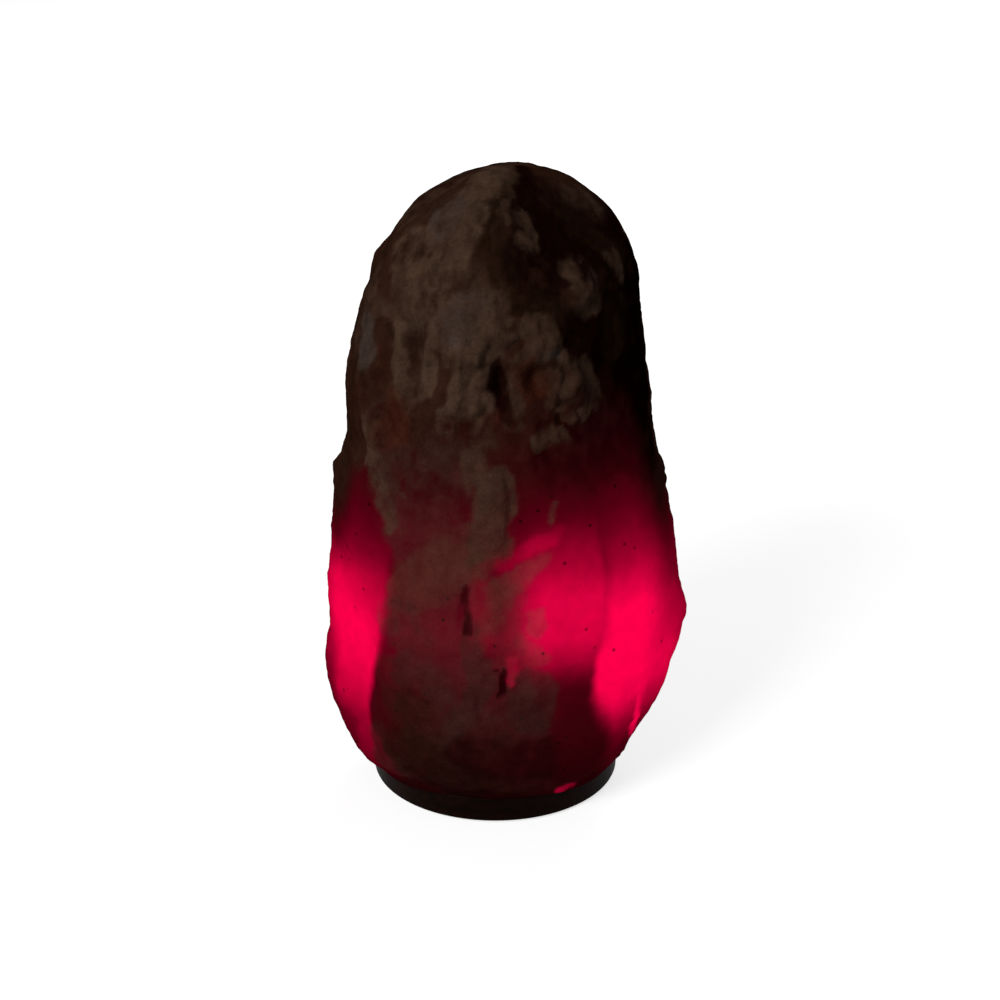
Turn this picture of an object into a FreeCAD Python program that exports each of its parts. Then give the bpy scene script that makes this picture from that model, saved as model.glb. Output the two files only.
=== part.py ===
import FreeCAD, Part
import math
import os

# Salt crystal lamp: a rough-hewn salt crystal screwed to a turned wooden base,
# with a clip-in lampholder and a small LED bulb that go up into a drilled bore.
# Millimetres. Origin: centre of the base on the table. +Z up, front is -Y.

V = FreeCAD.Vector
UP = V(0, 0, 1)

# Base and its foot
FELT_THICK = 1.0
FELT_R_OUT = 45.5
FELT_R_IN = 35.6
BASE_R = 50.0
BASE_BOTTOM = FELT_THICK
BASE_TOP = 11.5
BASE_EDGE = 0.7
BASE_HOLE_R = 22.0
CLIP_RECESS_R = 25.0
CLIP_RECESS_TOP = 4.6
CORD_GROOVE_WIDTH = 7.0
CORD_GROOVE_TOP = 8.0
FELT_GAP_WIDTH = 10.5

# Screws that hold the crystal down
SCREW_PITCH_R = 31.0
SCREW_ANGLES = (30.0, 150.0, 270.0)
SCREW_R = 1.75
SCREW_HEAD_R = 3.8
SCREW_TIP = 24.0
SCREW_FLUSH = 0.3
PLUG_R = 3.0
PLUG_LENGTH = 16.0

# Bore drilled up into the crystal
BORE_R = 22.5
BORE_TOP = 102.0
DRILL_POINT = 12.0

# Crystal outline: height, then how far the flank stands from the axis
# to the left (-X), the right (+X), the front (-Y) and the back (+Y)
FLANKS = (
    (11.5, 51.0, 50.0, 51.0, 48.0),
    (22.0, 60.5, 57.2, 56.5, 53.0),
    (40.0, 69.0, 66.6, 61.5, 58.0),
    (66.0, 67.6, 76.0, 64.5, 61.5),
    (92.0, 65.6, 72.8, 63.5, 60.5),
    (122.0, 64.2, 68.2, 59.0, 57.5),
    (148.0, 58.2, 62.4, 56.0, 54.5),
    (176.0, 57.2, 58.6, 52.5, 51.5),
    (202.0, 51.4, 55.4, 47.5, 47.5),
    (226.0, 40.4, 51.4, 40.0, 41.0),
    (242.0, 27.0, 39.0, 27.5, 28.5),
    (253.2, 3.5, 20.0, 9.0, 9.5),
)
FULLNESS = 2.3
SECTION_POINTS = 16

# Broad faces struck off the crystal: bearing and height of the middle, the way
# the face looks (bearing, tilt above level) and the depth taken off. Bearings
# run from the right (+X) through the back: 180 is left and 270 is the front.
BROAD_FACES = (
    (212.0, 92.0, 211.0, -2.0, 4.2),
    (249.0, 62.0, 249.0, -6.0, 2.6),
    (286.0, 64.0, 286.0, -5.0, 2.4),
    (324.0, 80.0, 325.0, -3.0, 4.6),
    (236.0, 195.0, 234.0, 12.0, 3.4),
    (318.0, 188.0, 316.0, 10.0, 3.6),
    (301.0, 232.0, 304.0, 42.0, 3.6),
    (222.0, 232.0, 222.0, 38.0, 2.6),
    (128.0, 110.0, 128.0, 2.0, 4.6),
    (62.0, 92.0, 60.0, -2.0, 5.0),
)

# Smaller chisel flats in staggered rows: tilt of the row above level, how many
# go round, and the depth struck off the part of the flank that stands proudest
CHISEL_ROWS = (
    (-24.0, 10, 1.5),
    (-6.0, 12, 1.3),
    (8.0, 12, 1.3),
    (22.0, 12, 1.4),
    (38.0, 10, 1.4),
    (56.0, 8, 1.3),
    (74.0, 5, 0.9),
)
CHISEL_SPREAD = 0.35

# Hollows worn or broken into the flanks: bearing, height, half width and
# half height at the surface, depth, lean of the long axis in degrees
HOLLOWS = (
    (272.0, 185.5, 3.6, 8.5, 6.0, 12.0),
    (287.0, 187.0, 5.4, 6.2, 4.4, 0.0),
    (219.0, 192.0, 3.0, 15.0, 1.8, 6.0),
    (234.0, 192.0, 3.0, 14.0, 1.8, 5.0),
    (247.0, 196.0, 2.8, 13.0, 1.8, 4.0),
    (260.0, 98.0, 2.6, 12.0, 4.4, -8.0),
    (265.0, 58.0, 2.6, 10.5, 2.2, 10.0),
    (273.5, 70.0, 1.9, 4.4, 5.0, 8.0),
    (291.0, 168.0, 4.4, 3.6, 2.4, 30.0),
    (325.0, 137.0, 2.0, 2.6, 2.2, 0.0),
    (208.0, 152.0, 10.5, 8.0, 2.4, 20.0),
    (300.0, 226.0, 15.0, 10.5, 2.4, 10.0),
    (285.0, 152.0, 11.5, 8.0, 1.8, 20.0),
    (244.0, 136.0, 10.5, 8.0, 1.6, -30.0),
    (342.0, 160.0, 10.0, 9.0, 2.0, 0.0),
    (347.0, 190.0, 9.0, 7.0, 1.4, 0.0),
    (30.0, 168.0, 15.0, 13.5, 2.6, 0.0),
    (80.0, 140.0, 13.0, 17.0, 4.2, 15.0),
    (92.0, 214.0, 13.5, 10.0, 2.2, 0.0),
    (115.0, 60.0, 8.5, 13.0, 3.6, -20.0),
    (150.0, 168.0, 13.5, 15.0, 2.4, 10.0),
)

# Lumps of harder salt that stand proud, given the same way
LUMPS = (
    (262.0, 194.6, 3.6, 4.1, 2.6, -8.0),
    (265.0, 185.3, 3.8, 4.1, 3.0, 10.0),
    (262.5, 176.4, 3.8, 4.2, 2.6, 0.0),
    (296.0, 201.0, 8.0, 5.4, 2.6, 20.0),
    (303.0, 181.0, 6.4, 8.0, 2.2, -30.0),
    (312.5, 216.0, 9.0, 8.0, 3.0, 0.0),
    (285.0, 93.0, 3.8, 5.4, 2.0, -30.0),
    (270.0, 138.0, 7.0, 14.0, 2.0, 5.0),
    (219.0, 158.0, 5.4, 11.5, 1.8, -14.0),
    (252.0, 108.0, 12.0, 7.0, 1.6, 35.0),
    (281.0, 110.0, 10.5, 4.4, 1.8, 35.0),
    (283.0, 63.0, 8.0, 7.0, 1.8, 0.0),
    (242.0, 66.0, 10.5, 9.0, 1.4, 0.0),
    (190.0, 136.0, 10.5, 9.0, 2.8, 0.0),
    (191.0, 88.0, 14.0, 15.0, 1.6, 0.0),
    (200.0, 42.0, 16.0, 10.0, 2.0, 0.0),
    (350.0, 137.0, 10.5, 8.0, 2.2, 0.0),
    (350.0, 78.0, 12.5, 10.0, 1.8, 0.0),
    (347.0, 215.0, 12.5, 13.0, 2.4, 0.0),
    (20.0, 120.0, 13.5, 11.5, 3.0, 0.0),
    (55.0, 200.0, 12.5, 10.5, 2.6, 0.0),
    (70.0, 60.0, 13.5, 10.0, 2.6, 15.0),
    (100.0, 100.0, 10.5, 11.5, 2.4, 0.0),
    (105.0, 180.0, 13.5, 11.5, 2.8, 10.0),
    (140.0, 140.0, 11.5, 13.5, 2.6, 0.0),
    (160.0, 60.0, 13.5, 11.5, 2.8, 0.0),
    (165.0, 215.0, 11.5, 10.0, 2.2, 0.0),
)

# Chip out of the crystal's lower rim, where light leaks on to the base
RIM_CHIP_BEARING = 300.0
RIM_CHIP_LENGTH = 13.0
RIM_CHIP_HEIGHT = 1.8
RIM_CHIP_DEPTH = 5.0

# Lampholder for a small (E14) screw cap, on the lamp's axis
CAP_R = 13.8
CAP_BOTTOM = 14.0
CAP_TOP = 31.0
CAP_FLOOR = 2.5
CAP_BORE_R = 12.0
CAP_FLUTES = 24
CAP_FLUTE = 1.2
GLAND_BOTTOM = 10.5
GLAND_R = 6.0
GLAND_NECK_R = 5.0
GLAND_BORE_R = 3.2
SHELL_SKIRT_BOTTOM = 23.5
SHELL_SHOULDER = 37.0
SHELL_TOP = 50.0
SHELL_THREAD_R = 12.6
SHELL_BORE_R = 7.9
CARRIER_R = 10.2
CARRIER_TOP = 29.0
SLEEVE_BORE_R = 7.35
SLEEVE_TOP = 49.0
TERMINAL_PITCH = 5.6
TERMINAL_HEAD_R = 1.6
TERMINAL_SHANK_R = 1.2
CLIP_PLATE_THICK = 0.7
CLIP_PLATE_R = 17.0
CLIP_ARM_WIDTH = 9.0
CLIP_ARM_REACH = 20.85
CLIP_LIP_R = 23.6
CLIP_LIP_Z = 3.5
CLIP_ANGLES = (30.0, 150.0, 270.0)
NUT_R = 17.5
NUT_TOP = 43.2
NUT_NOTCHES = 12

# LED bulb with an E14 cap
BULB_CAP_R = 6.75
BULB_CAP_BOTTOM = 34.6
BULB_CAP_TOP = 52.5
BULB_CAP_SKIN = 0.35
FOOT_R = 2.4
FOOT_BOTTOM = 31.7
COLLAR_BOTTOM = 50.5
COLLAR_TOP = 62.0
COLLAR_R = 12.6
COLLAR_NECK_R = 7.4
DOME_R = 13.5
DOME_CENTRE = 74.0
DOME_NECK_R = 11.4
DOME_SKIN = 1.0
LED_BOARD_R = 10.4
LED_BOARD_THICK = 1.4
LED_SIZE = 5.0
LED_RING_R = 6.4
LED_HEIGHT = 1.5
LED_COUNT = 5


def polar(radius, bearing, z=0.0):
    """Point at a radius and bearing (degrees from +X) about the lamp's axis."""
    a = math.radians(bearing)
    return V(radius * math.cos(a), radius * math.sin(a), z)


def tube(r_out, r_in, z0, z1):
    """Plain ring between two heights."""
    outer = Part.makeCylinder(r_out, z1 - z0, V(0, 0, z0))
    if r_in <= 0:
        return outer
    return outer.cut(Part.makeCylinder(r_in, z1 - z0 + 2, V(0, 0, z0 - 1)))


def turned(profile):
    """Solid turned about the lamp's axis from a closed (radius, height) outline."""
    points = [V(r, 0, z) for r, z in profile]
    face = Part.Face(Part.makePolygon(points + points[:1]))
    return face.revolve(V(0, 0, 0), UP, 360)


def around(shape, bearings):
    """Copies of a shape made at bearing 0, turned to each bearing."""
    copies = []
    for bearing in bearings:
        copy = shape.copy()
        copy.rotate(V(0, 0, 0), UP, bearing)
        copies.append(copy)
    return copies


def even(count, start=0.0):
    """Bearings of so many features spaced evenly round the axis."""
    return [start + 360.0 * i / count for i in range(count)]


# --- crystal -----------------------------------------------------------------


def facing(bearing, tilt):
    """Unit direction with a bearing and a tilt above level."""
    level = polar(math.cos(math.radians(tilt)), bearing)
    return V(level.x, level.y, math.sin(math.radians(tilt)))


def flank_at(z):
    """Left, right, front and back reach at a height, in line between stations."""
    i = max([0] + [k for k in range(len(FLANKS) - 1) if FLANKS[k][0] <= z])
    low, high = FLANKS[i], FLANKS[i + 1]
    t = (z - low[0]) / (high[0] - low[0])
    return [a + (b - a) * t for a, b in zip(low[1:], high[1:])]


def rough_point(bearing, z):
    """Outline before dressing: four unequal quarter ovals."""
    left, right, front, back = flank_at(z)
    a = math.radians(bearing)
    c, s = math.cos(a), math.sin(a)
    across = abs(c) / (right if c > 0 else left)
    along = abs(s) / (back if s > 0 else front)
    oval = (across**FULLNESS + along**FULLNESS) ** (-1.0 / FULLNESS)
    return polar(oval, bearing, z)


def broad_planes():
    """Each broad face as a point on it and the way it looks."""
    for bearing, z, face_bearing, tilt, depth in BROAD_FACES:
        out = facing(face_bearing, tilt)
        yield rough_point(bearing, z) - out * depth, out


def chisel_planes():
    """Each chisel flat, set below whatever stands proudest the way it looks."""
    heights = [FLANKS[0][0] + 6.0 * i for i in range(41)]
    flank = [rough_point(b, min(z, FLANKS[-1][0])) for z in heights for b in even(60)]
    for row, (tilt, count, depth) in enumerate(CHISEL_ROWS):
        for i, bearing in enumerate(even(count, 40.0 * row)):
            uneven = math.sin(2.1 * i + 1.7 * row)
            out = facing(bearing + 5.0 * uneven, tilt + 4.0 * math.cos(1.3 * i + row))
            proudest = max(flank, key=out.dot)
            yield proudest - out * (depth + CHISEL_SPREAD * uneven), out


def hewn_point(bearing, z):
    """Outline after dressing: the nearest of the rough flank and every flat."""
    along = polar(1.0, bearing)
    reach = math.hypot(*rough_point(bearing, z)[:2])
    for point, out in PLANES:
        if along.dot(out) > 0.05:
            reach = min(reach, (point - V(0, 0, z)).dot(out) / along.dot(out))
    return polar(reach, bearing, z)


def section(z):
    """One closed, smooth outline of the rough crystal at a height."""
    curve = Part.BSplineCurve()
    points = [rough_point(b, z) for b in even(SECTION_POINTS)]
    steps = [i / SECTION_POINTS for i in range(SECTION_POINTS + 1)]
    curve.interpolate(Points=points, PeriodicFlag=True, Parameters=steps)
    return Part.Wire(curve.toShape())


def waste(point, out):
    """Block struck off beyond a flat."""
    block = Part.makeBox(300, 300, 90, V(-150, -150, 0))
    block.Placement = FreeCAD.Placement(point, FreeCAD.Rotation(UP, out))
    return block


def nugget(bearing, z, half_width, half_height, depth, lean, corners=7):
    """Many-sided fragment centred on the surface, its long axis up the flank.

    A ring of corners lies along the surface, with one point inside the crystal
    and one outside, so that it leaves a broken pit or a proud lump.
    """
    ring = []
    for turn in even(corners, 20.0):
        a = math.radians(turn)
        rough = 1.0 + 0.12 * math.sin(2.3 * turn)
        ring.append(V(0, half_width * rough * math.cos(a), half_height * rough * math.sin(a)))
    faces = []
    for tip in (V(depth, 0.2 * half_width, 0), V(-depth, 0.15 * half_width, 0)):
        for a, b in zip(ring, ring[1:] + ring[:1]):
            faces.append(Part.Face(Part.makePolygon([tip, a, b, tip])))
    form = Part.makeSolid(Part.makeShell(faces))
    form.rotate(V(0, 0, 0), V(1, 0, 0), lean)
    slope = hewn_point(bearing, z + 4) - hewn_point(bearing, z - 4)
    form.rotate(V(0, 0, 0), V(0, 1, 0), math.degrees(math.atan2(slope.dot(polar(1, bearing)), 8)))
    form.rotate(V(0, 0, 0), UP, bearing)
    form.translate(hewn_point(bearing, z))
    return form


def rim_chip():
    """Wedge broken out of the lower rim."""
    chip = Part.makeBox(RIM_CHIP_DEPTH + 6, RIM_CHIP_LENGTH, 2 * RIM_CHIP_HEIGHT)
    chip.translate(V(-RIM_CHIP_DEPTH, -RIM_CHIP_LENGTH / 2, -RIM_CHIP_HEIGHT))
    chip.rotate(V(0, 0, 0), V(0, 1, 0), -9)
    chip.rotate(V(0, 0, 0), UP, RIM_CHIP_BEARING)
    chip.translate(hewn_point(RIM_CHIP_BEARING, BASE_TOP))
    return chip


def drilled_bore():
    """Core-drilled hole with the cone that the drill's point leaves."""
    bottom = BASE_TOP - 5
    return turned([(0, bottom), (BORE_R, bottom), (BORE_R, BORE_TOP), (0, BORE_TOP + DRILL_POINT)])


def plug_holes():
    hole = Part.makeCylinder(PLUG_R, PLUG_LENGTH + 1, V(SCREW_PITCH_R, 0, BASE_TOP - 1))
    return around(hole, SCREW_ANGLES)


def salt_crystal():
    body = Part.makeLoft([section(row[0]) for row in FLANKS], True, False)
    for point, out in PLANES:
        body = body.cut(waste(point, out))
    body = body.fuse([nugget(*lump) for lump in LUMPS])
    body = body.cut([nugget(*hollow) for hollow in HOLLOWS])
    return body.cut([rim_chip(), drilled_bore()] + plug_holes())


# --- base --------------------------------------------------------------------


def wooden_base():
    """Turned disc with eased edges, bored for the lampholder."""
    low, high, ease = BASE_BOTTOM, BASE_TOP, BASE_EDGE
    disc = turned([
        (0, low), (BASE_R - ease, low), (BASE_R - 0.3 * ease, low + 0.3 * ease),
        (BASE_R, low + ease), (BASE_R, high - ease),
        (BASE_R - 0.3 * ease, high - 0.3 * ease), (BASE_R - ease, high), (0, high),
    ])
    hole = Part.makeCylinder(BASE_HOLE_R, BASE_TOP + 2)
    recess = Part.makeCylinder(CLIP_RECESS_R, CLIP_RECESS_TOP)
    groove = Part.makeBox(CORD_GROOVE_WIDTH, BASE_R + 2, CORD_GROOVE_TOP,
                          V(-CORD_GROOVE_WIDTH / 2, 0, 0))
    roof = [e for e in groove.Edges
            if abs(e.CenterOfMass.z - CORD_GROOVE_TOP) < 0.01
            and abs(abs(e.CenterOfMass.x) - CORD_GROOVE_WIDTH / 2) < 0.01]
    groove = groove.makeChamfer(1.6, roof)
    shank = Part.makeCylinder(SCREW_R + 0.35, BASE_TOP + 2, V(SCREW_PITCH_R, 0, 0))
    sink_depth = SCREW_HEAD_R - SCREW_R + SCREW_FLUSH
    sink = Part.makeCone(SCREW_HEAD_R + SCREW_FLUSH, SCREW_R, sink_depth,
                         V(SCREW_PITCH_R, 0, BASE_BOTTOM))
    return disc.cut([hole, recess, groove] + around(shank.fuse(sink), SCREW_ANGLES))


def felt_ring():
    """Felt glued under the rim of the base, open where the groove comes out."""
    ring = tube(FELT_R_OUT, FELT_R_IN, 0, FELT_THICK)
    gap = Part.makeBox(FELT_GAP_WIDTH, BASE_R, FELT_THICK + 2, V(-FELT_GAP_WIDTH / 2, 0, -1))
    return ring.cut(gap)


def base_screw():
    """Countersunk wood screw with a cross recess, driven up from below."""
    z = BASE_BOTTOM + SCREW_FLUSH
    head_depth = SCREW_HEAD_R - SCREW_R
    point = 3.0
    screw = turned([
        (0, z), (SCREW_HEAD_R, z), (SCREW_R, z + head_depth),
        (SCREW_R, SCREW_TIP - point), (0, SCREW_TIP),
    ])
    slot = Part.makeBox(4.2, 0.9, 1.4, V(-2.1, -0.45, z - 0.1))
    screw = screw.cut([slot, Part.makeBox(0.9, 4.2, 1.4, V(-0.45, -2.1, z - 0.1))])
    screw.translate(V(SCREW_PITCH_R, 0, 0))
    return screw


def screw_plug():
    """Nylon plug set in the crystal that the screw bites into."""
    plug = tube(PLUG_R, SCREW_R, BASE_TOP, BASE_TOP + PLUG_LENGTH)
    plug = plug.cut(Part.makeBox(2 * PLUG_R + 1, 0.8, 9, V(-PLUG_R - 0.5, -0.4, BASE_TOP + 8)))
    plug.translate(V(SCREW_PITCH_R, 0, 0))
    return plug


# --- lampholder --------------------------------------------------------------


def holder_cap():
    """Fluted moulded cap that closes the lampholder's wiring space."""
    outline = [
        (GLAND_NECK_R, CAP_BOTTOM), (CAP_R - 2.5, CAP_BOTTOM), (CAP_R, CAP_BOTTOM + 2.5),
        (CAP_R, CAP_TOP), (CAP_BORE_R, CAP_TOP), (CAP_BORE_R, CAP_BOTTOM + CAP_FLOOR),
        (GLAND_NECK_R, CAP_BOTTOM + CAP_FLOOR),
    ]
    flute = Part.makeBox(CAP_FLUTE, CAP_FLUTE, CAP_TOP - CAP_BOTTOM - 7)
    flute.rotate(V(0, 0, 0), UP, 45)
    flute.translate(V(CAP_R - 0.75 * CAP_FLUTE, 0, CAP_BOTTOM + 4.5))
    return turned(outline).cut(around(flute, even(CAP_FLUTES)))


def cord_gland():
    """Nylon bush through the cap's floor that grips the cord."""
    floor_top = CAP_BOTTOM + CAP_FLOOR
    outline = [
        (GLAND_BORE_R, GLAND_BOTTOM), (GLAND_R, GLAND_BOTTOM), (GLAND_R, CAP_BOTTOM),
        (GLAND_NECK_R, CAP_BOTTOM), (GLAND_NECK_R, floor_top), (GLAND_NECK_R + 0.8, floor_top),
        (GLAND_NECK_R - 0.2, floor_top + 2.0), (GLAND_BORE_R, floor_top + 2.0),
    ]
    screw_hole = Part.makeCylinder(1.25, GLAND_R + 1, V(0, 0, GLAND_BOTTOM + 1.9), V(-1, 0, 0))
    return turned(outline).cut(screw_hole)


def gland_screw():
    """Slotted grub screw that pinches the cord in the gland."""
    z = GLAND_BOTTOM + 1.9
    start = GLAND_BORE_R + 0.3
    screw = Part.makeCylinder(1.25, 4.6, V(-start, 0, z), V(-1, 0, 0))
    slot = Part.makeBox(1.0, 4.0, 0.6, V(-start - 4.7, -2.0, z - 0.3))
    return screw.cut(slot)


def holder_shell():
    """Moulded shell: skirt inside the cap, grip band, shoulder and ring-nut seat."""
    outline = [
        (CARRIER_R, SHELL_SKIRT_BOTTOM), (CAP_BORE_R, SHELL_SKIRT_BOTTOM),
        (CAP_BORE_R, CAP_TOP), (CAP_R, CAP_TOP), (CAP_R, SHELL_SHOULDER),
        (SHELL_THREAD_R, SHELL_SHOULDER), (SHELL_THREAD_R, SHELL_TOP - 1),
        (SHELL_THREAD_R - 1, SHELL_TOP), (SHELL_BORE_R, SHELL_TOP),
        (SHELL_BORE_R, CARRIER_TOP), (CARRIER_R, CARRIER_TOP),
    ]
    return turned(outline)


def contact_carrier():
    """Ceramic disc that carries the contacts and terminals."""
    disc = tube(CARRIER_R, 0, SHELL_SKIRT_BOTTOM + 0.8, CARRIER_TOP)
    cuts = [Part.makeCylinder(1.2, 12, V(0, 0, SHELL_SKIRT_BOTTOM - 1))]
    for x in (-TERMINAL_PITCH, TERMINAL_PITCH):
        cuts.append(Part.makeBox(5.4, 6.4, 3.2, V(x - 2.7, -3.2, SHELL_SKIRT_BOTTOM)))
        cuts.append(Part.makeCylinder(TERMINAL_SHANK_R, 5.1, V(x, 0, SHELL_SKIRT_BOTTOM)))
    cuts.append(Part.makeBox(0.75, 4.2, 12, V(SLEEVE_BORE_R - 0.1, -2.1, SHELL_SKIRT_BOTTOM - 1)))
    return disc.cut(cuts)


def thread_sleeve():
    """Brass sleeve that takes the bulb's screw cap, with its wiring tab."""
    sleeve = tube(SHELL_BORE_R, SLEEVE_BORE_R, CARRIER_TOP, SLEEVE_TOP)
    tab = Part.makeBox(0.55, 4.0, 4.0, V(SLEEVE_BORE_R, -2.0, CARRIER_TOP - 3.6))
    return sleeve.fuse(tab)


def centre_contact():
    """Sprung brass tongue under the bulb's foot, riveted through the carrier."""
    rivet = Part.makeCylinder(1.2, 3.4, V(0, 0, CARRIER_TOP - 3.2))
    strip = Part.makeBox(8.6, 4.0, 0.5, V(-5.6, -2.0, CARRIER_TOP))
    tongue = Part.makeBox(7.6, 3.6, 0.5, V(0, -1.8, 0))
    tongue.rotate(V(0, 0, 0), V(0, 1, 0), -15)
    tongue.translate(V(-5.4, 0, CARRIER_TOP + 0.1))
    return rivet.fuse([strip, tongue])


def terminal_screws():
    """Slotted screws that clamp the two wires under the carrier."""
    screws = []
    for x in (-TERMINAL_PITCH, TERMINAL_PITCH):
        head = Part.makeCylinder(TERMINAL_HEAD_R, 1.5, V(x, 0, SHELL_SKIRT_BOTTOM + 1.4))
        shank = Part.makeCylinder(TERMINAL_SHANK_R, 2.2, V(x, 0, SHELL_SKIRT_BOTTOM + 2.9))
        slot = Part.makeBox(0.6, 4.4, 0.8, V(x - 0.3, -2.2, SHELL_SKIRT_BOTTOM + 1.2))
        screws.append(head.fuse(shank).cut(slot))
    return Part.makeCompound(screws)


def bent_strip(path, thick, width):
    """Strip of even thickness folded along a (radius, height) path with mitred bends."""
    points = [V(r, 0, z) for r, z in path]
    runs = [(b - a).normalize() for a, b in zip(points, points[1:])]
    sides = ([], [])
    for i, point in enumerate(points):
        before, after = runs[max(i - 1, 0)], runs[min(i, len(runs) - 1)]
        mitre = (before + after).normalize().cross(V(0, 1, 0))
        reach = thick / 2 / mitre.dot(before.cross(V(0, 1, 0)))
        sides[0].append(point + mitre * reach)
        sides[1].append(point - mitre * reach)
    outline = sides[0] + sides[1][::-1] + sides[0][:1]
    strip = Part.Face(Part.makePolygon(outline)).extrude(V(0, width, 0))
    strip.translate(V(0, -width / 2, 0))
    return strip


def spring_clip():
    """Spring-steel plate with three bowed arms whose lips hook under the base."""
    top = SHELL_SHOULDER + CLIP_PLATE_THICK
    plate = tube(CLIP_PLATE_R, SHELL_THREAD_R, SHELL_SHOULDER, top)
    mid = SHELL_SHOULDER + CLIP_PLATE_THICK / 2
    reach = CLIP_ARM_REACH
    path = [
        (15.6, mid), (17.8, mid), (19.7, mid - 1.6), (reach, mid - 6.5), (reach, 18.0),
        (reach - 0.5, 11.5), (reach - 1.3, 6.4), (reach - 0.9, 4.4), (reach + 0.3, CLIP_LIP_Z),
        (CLIP_LIP_R, CLIP_LIP_Z),
    ]
    arm = bent_strip(path, CLIP_PLATE_THICK, CLIP_ARM_WIDTH)
    return plate.fuse(around(arm, CLIP_ANGLES)).removeSplitter()


def clip_ring_nut():
    """Notched ring nut that clamps the clip on the shell's shoulder."""
    bottom = SHELL_SHOULDER + CLIP_PLATE_THICK
    outline = [
        (SHELL_THREAD_R, bottom), (NUT_R, bottom), (NUT_R, NUT_TOP - 1.0),
        (NUT_R - 1.0, NUT_TOP), (SHELL_THREAD_R, NUT_TOP),
    ]
    notch = Part.makeBox(2.4, 1.8, 12, V(NUT_R - 1.0, -0.9, bottom - 1))
    return turned(outline).cut(around(notch, even(NUT_NOTCHES)))


# --- bulb --------------------------------------------------------------------


def foot_contact():
    """Solder-domed contact at the bulb's foot."""
    return turned([
        (0, FOOT_BOTTOM), (1.2, FOOT_BOTTOM), (FOOT_R, FOOT_BOTTOM + 0.6),
        (FOOT_R, FOOT_BOTTOM + 1.3), (0, FOOT_BOTTOM + 1.3),
    ])


def cap_insulator():
    """Black insulating cone between the foot contact and the screw cap."""
    z = FOOT_BOTTOM + 1.0
    return turned([
        (FOOT_R, z), (FOOT_R + 0.5, z), (BULB_CAP_R - 1.2, BULB_CAP_BOTTOM),
        (BULB_CAP_R - 1.2, BULB_CAP_BOTTOM + 0.8), (0, BULB_CAP_BOTTOM + 0.8),
        (0, FOOT_BOTTOM + 1.3), (FOOT_R, FOOT_BOTTOM + 1.3),
    ])


def bulb_cap():
    """Thin screw-cap sleeve, drawn in at the foot."""
    r, skin = BULB_CAP_R, BULB_CAP_SKIN
    return turned([
        (r - 1.2, BULB_CAP_BOTTOM), (r, BULB_CAP_BOTTOM + 1.2), (r, BULB_CAP_TOP),
        (r - skin, BULB_CAP_TOP), (r - skin, BULB_CAP_BOTTOM + 1.4),
        (r - 1.2, BULB_CAP_BOTTOM + 0.8),
    ])


def bulb_collar():
    """White moulded body that flares from the screw cap to the dome."""
    r = BULB_CAP_R
    seat = COLLAR_TOP - LED_BOARD_THICK
    return turned([
        (r, COLLAR_BOTTOM), (COLLAR_NECK_R, COLLAR_BOTTOM), (COLLAR_NECK_R + 1.2, 52.4),
        (COLLAR_R - 1.4, 57.0), (COLLAR_R, COLLAR_TOP - 1.0), (COLLAR_R, COLLAR_TOP),
        (LED_BOARD_R, COLLAR_TOP), (LED_BOARD_R, seat), (LED_BOARD_R - 1.6, seat),
        (r - 0.2, BULB_CAP_TOP + 1.5), (r - 0.2, BULB_CAP_TOP), (r, BULB_CAP_TOP),
    ])


def bulb_dome():
    """Frosted dome: a short neck glued in the collar under a deep part sphere."""

    def bowl(radius, steps):
        """Outline from the neck up to the crown in so many even steps."""
        start = math.asin((COLLAR_TOP + 2.0 - DOME_CENTRE) / DOME_R)
        angles = [start + (math.pi / 2 - start) * i / steps for i in range(steps)]
        curve = [(radius * math.cos(a), DOME_CENTRE + radius * math.sin(a)) for a in angles]
        return curve + [(0, DOME_CENTRE + radius)]

    neck_out = (DOME_NECK_R, COLLAR_TOP)
    neck_in = (DOME_NECK_R - DOME_SKIN, COLLAR_TOP)
    inside = bowl(DOME_R - DOME_SKIN, 5)
    return turned([neck_in, neck_out] + bowl(DOME_R, 7) + inside[::-1])


def led_board():
    """Round aluminium board on the collar's ledge."""
    bottom = COLLAR_TOP - LED_BOARD_THICK
    slot = Part.makeBox(1.8, 9.0, 4, V(-0.9, -4.5, bottom - 1))
    return tube(LED_BOARD_R, 0, bottom, COLLAR_TOP).cut(slot)


def led_chips():
    """Square colour-changing LED packages in a ring on the board."""
    half = LED_SIZE / 2
    chip = Part.makeBox(LED_SIZE, LED_SIZE, LED_HEIGHT, V(LED_RING_R - half, -half, COLLAR_TOP))
    return Part.makeCompound(around(chip, even(LED_COUNT, 90.0)))


def driver_board():
    """Circuit board that stands in the screw cap and collar."""
    board = Part.makeBox(1.2, 8.8, 26.0, V(-0.6, -4.4, BULB_CAP_BOTTOM + 1.2))
    coil = Part.makeCylinder(2.0, 5.0, V(2.7, 0, 44.0))
    capacitor = Part.makeCylinder(1.9, 6.5, V(-2.5, 0.2, 47.0))
    return board.fuse([coil, capacitor])


PLANES = list(broad_planes()) + list(chisel_planes())

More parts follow.
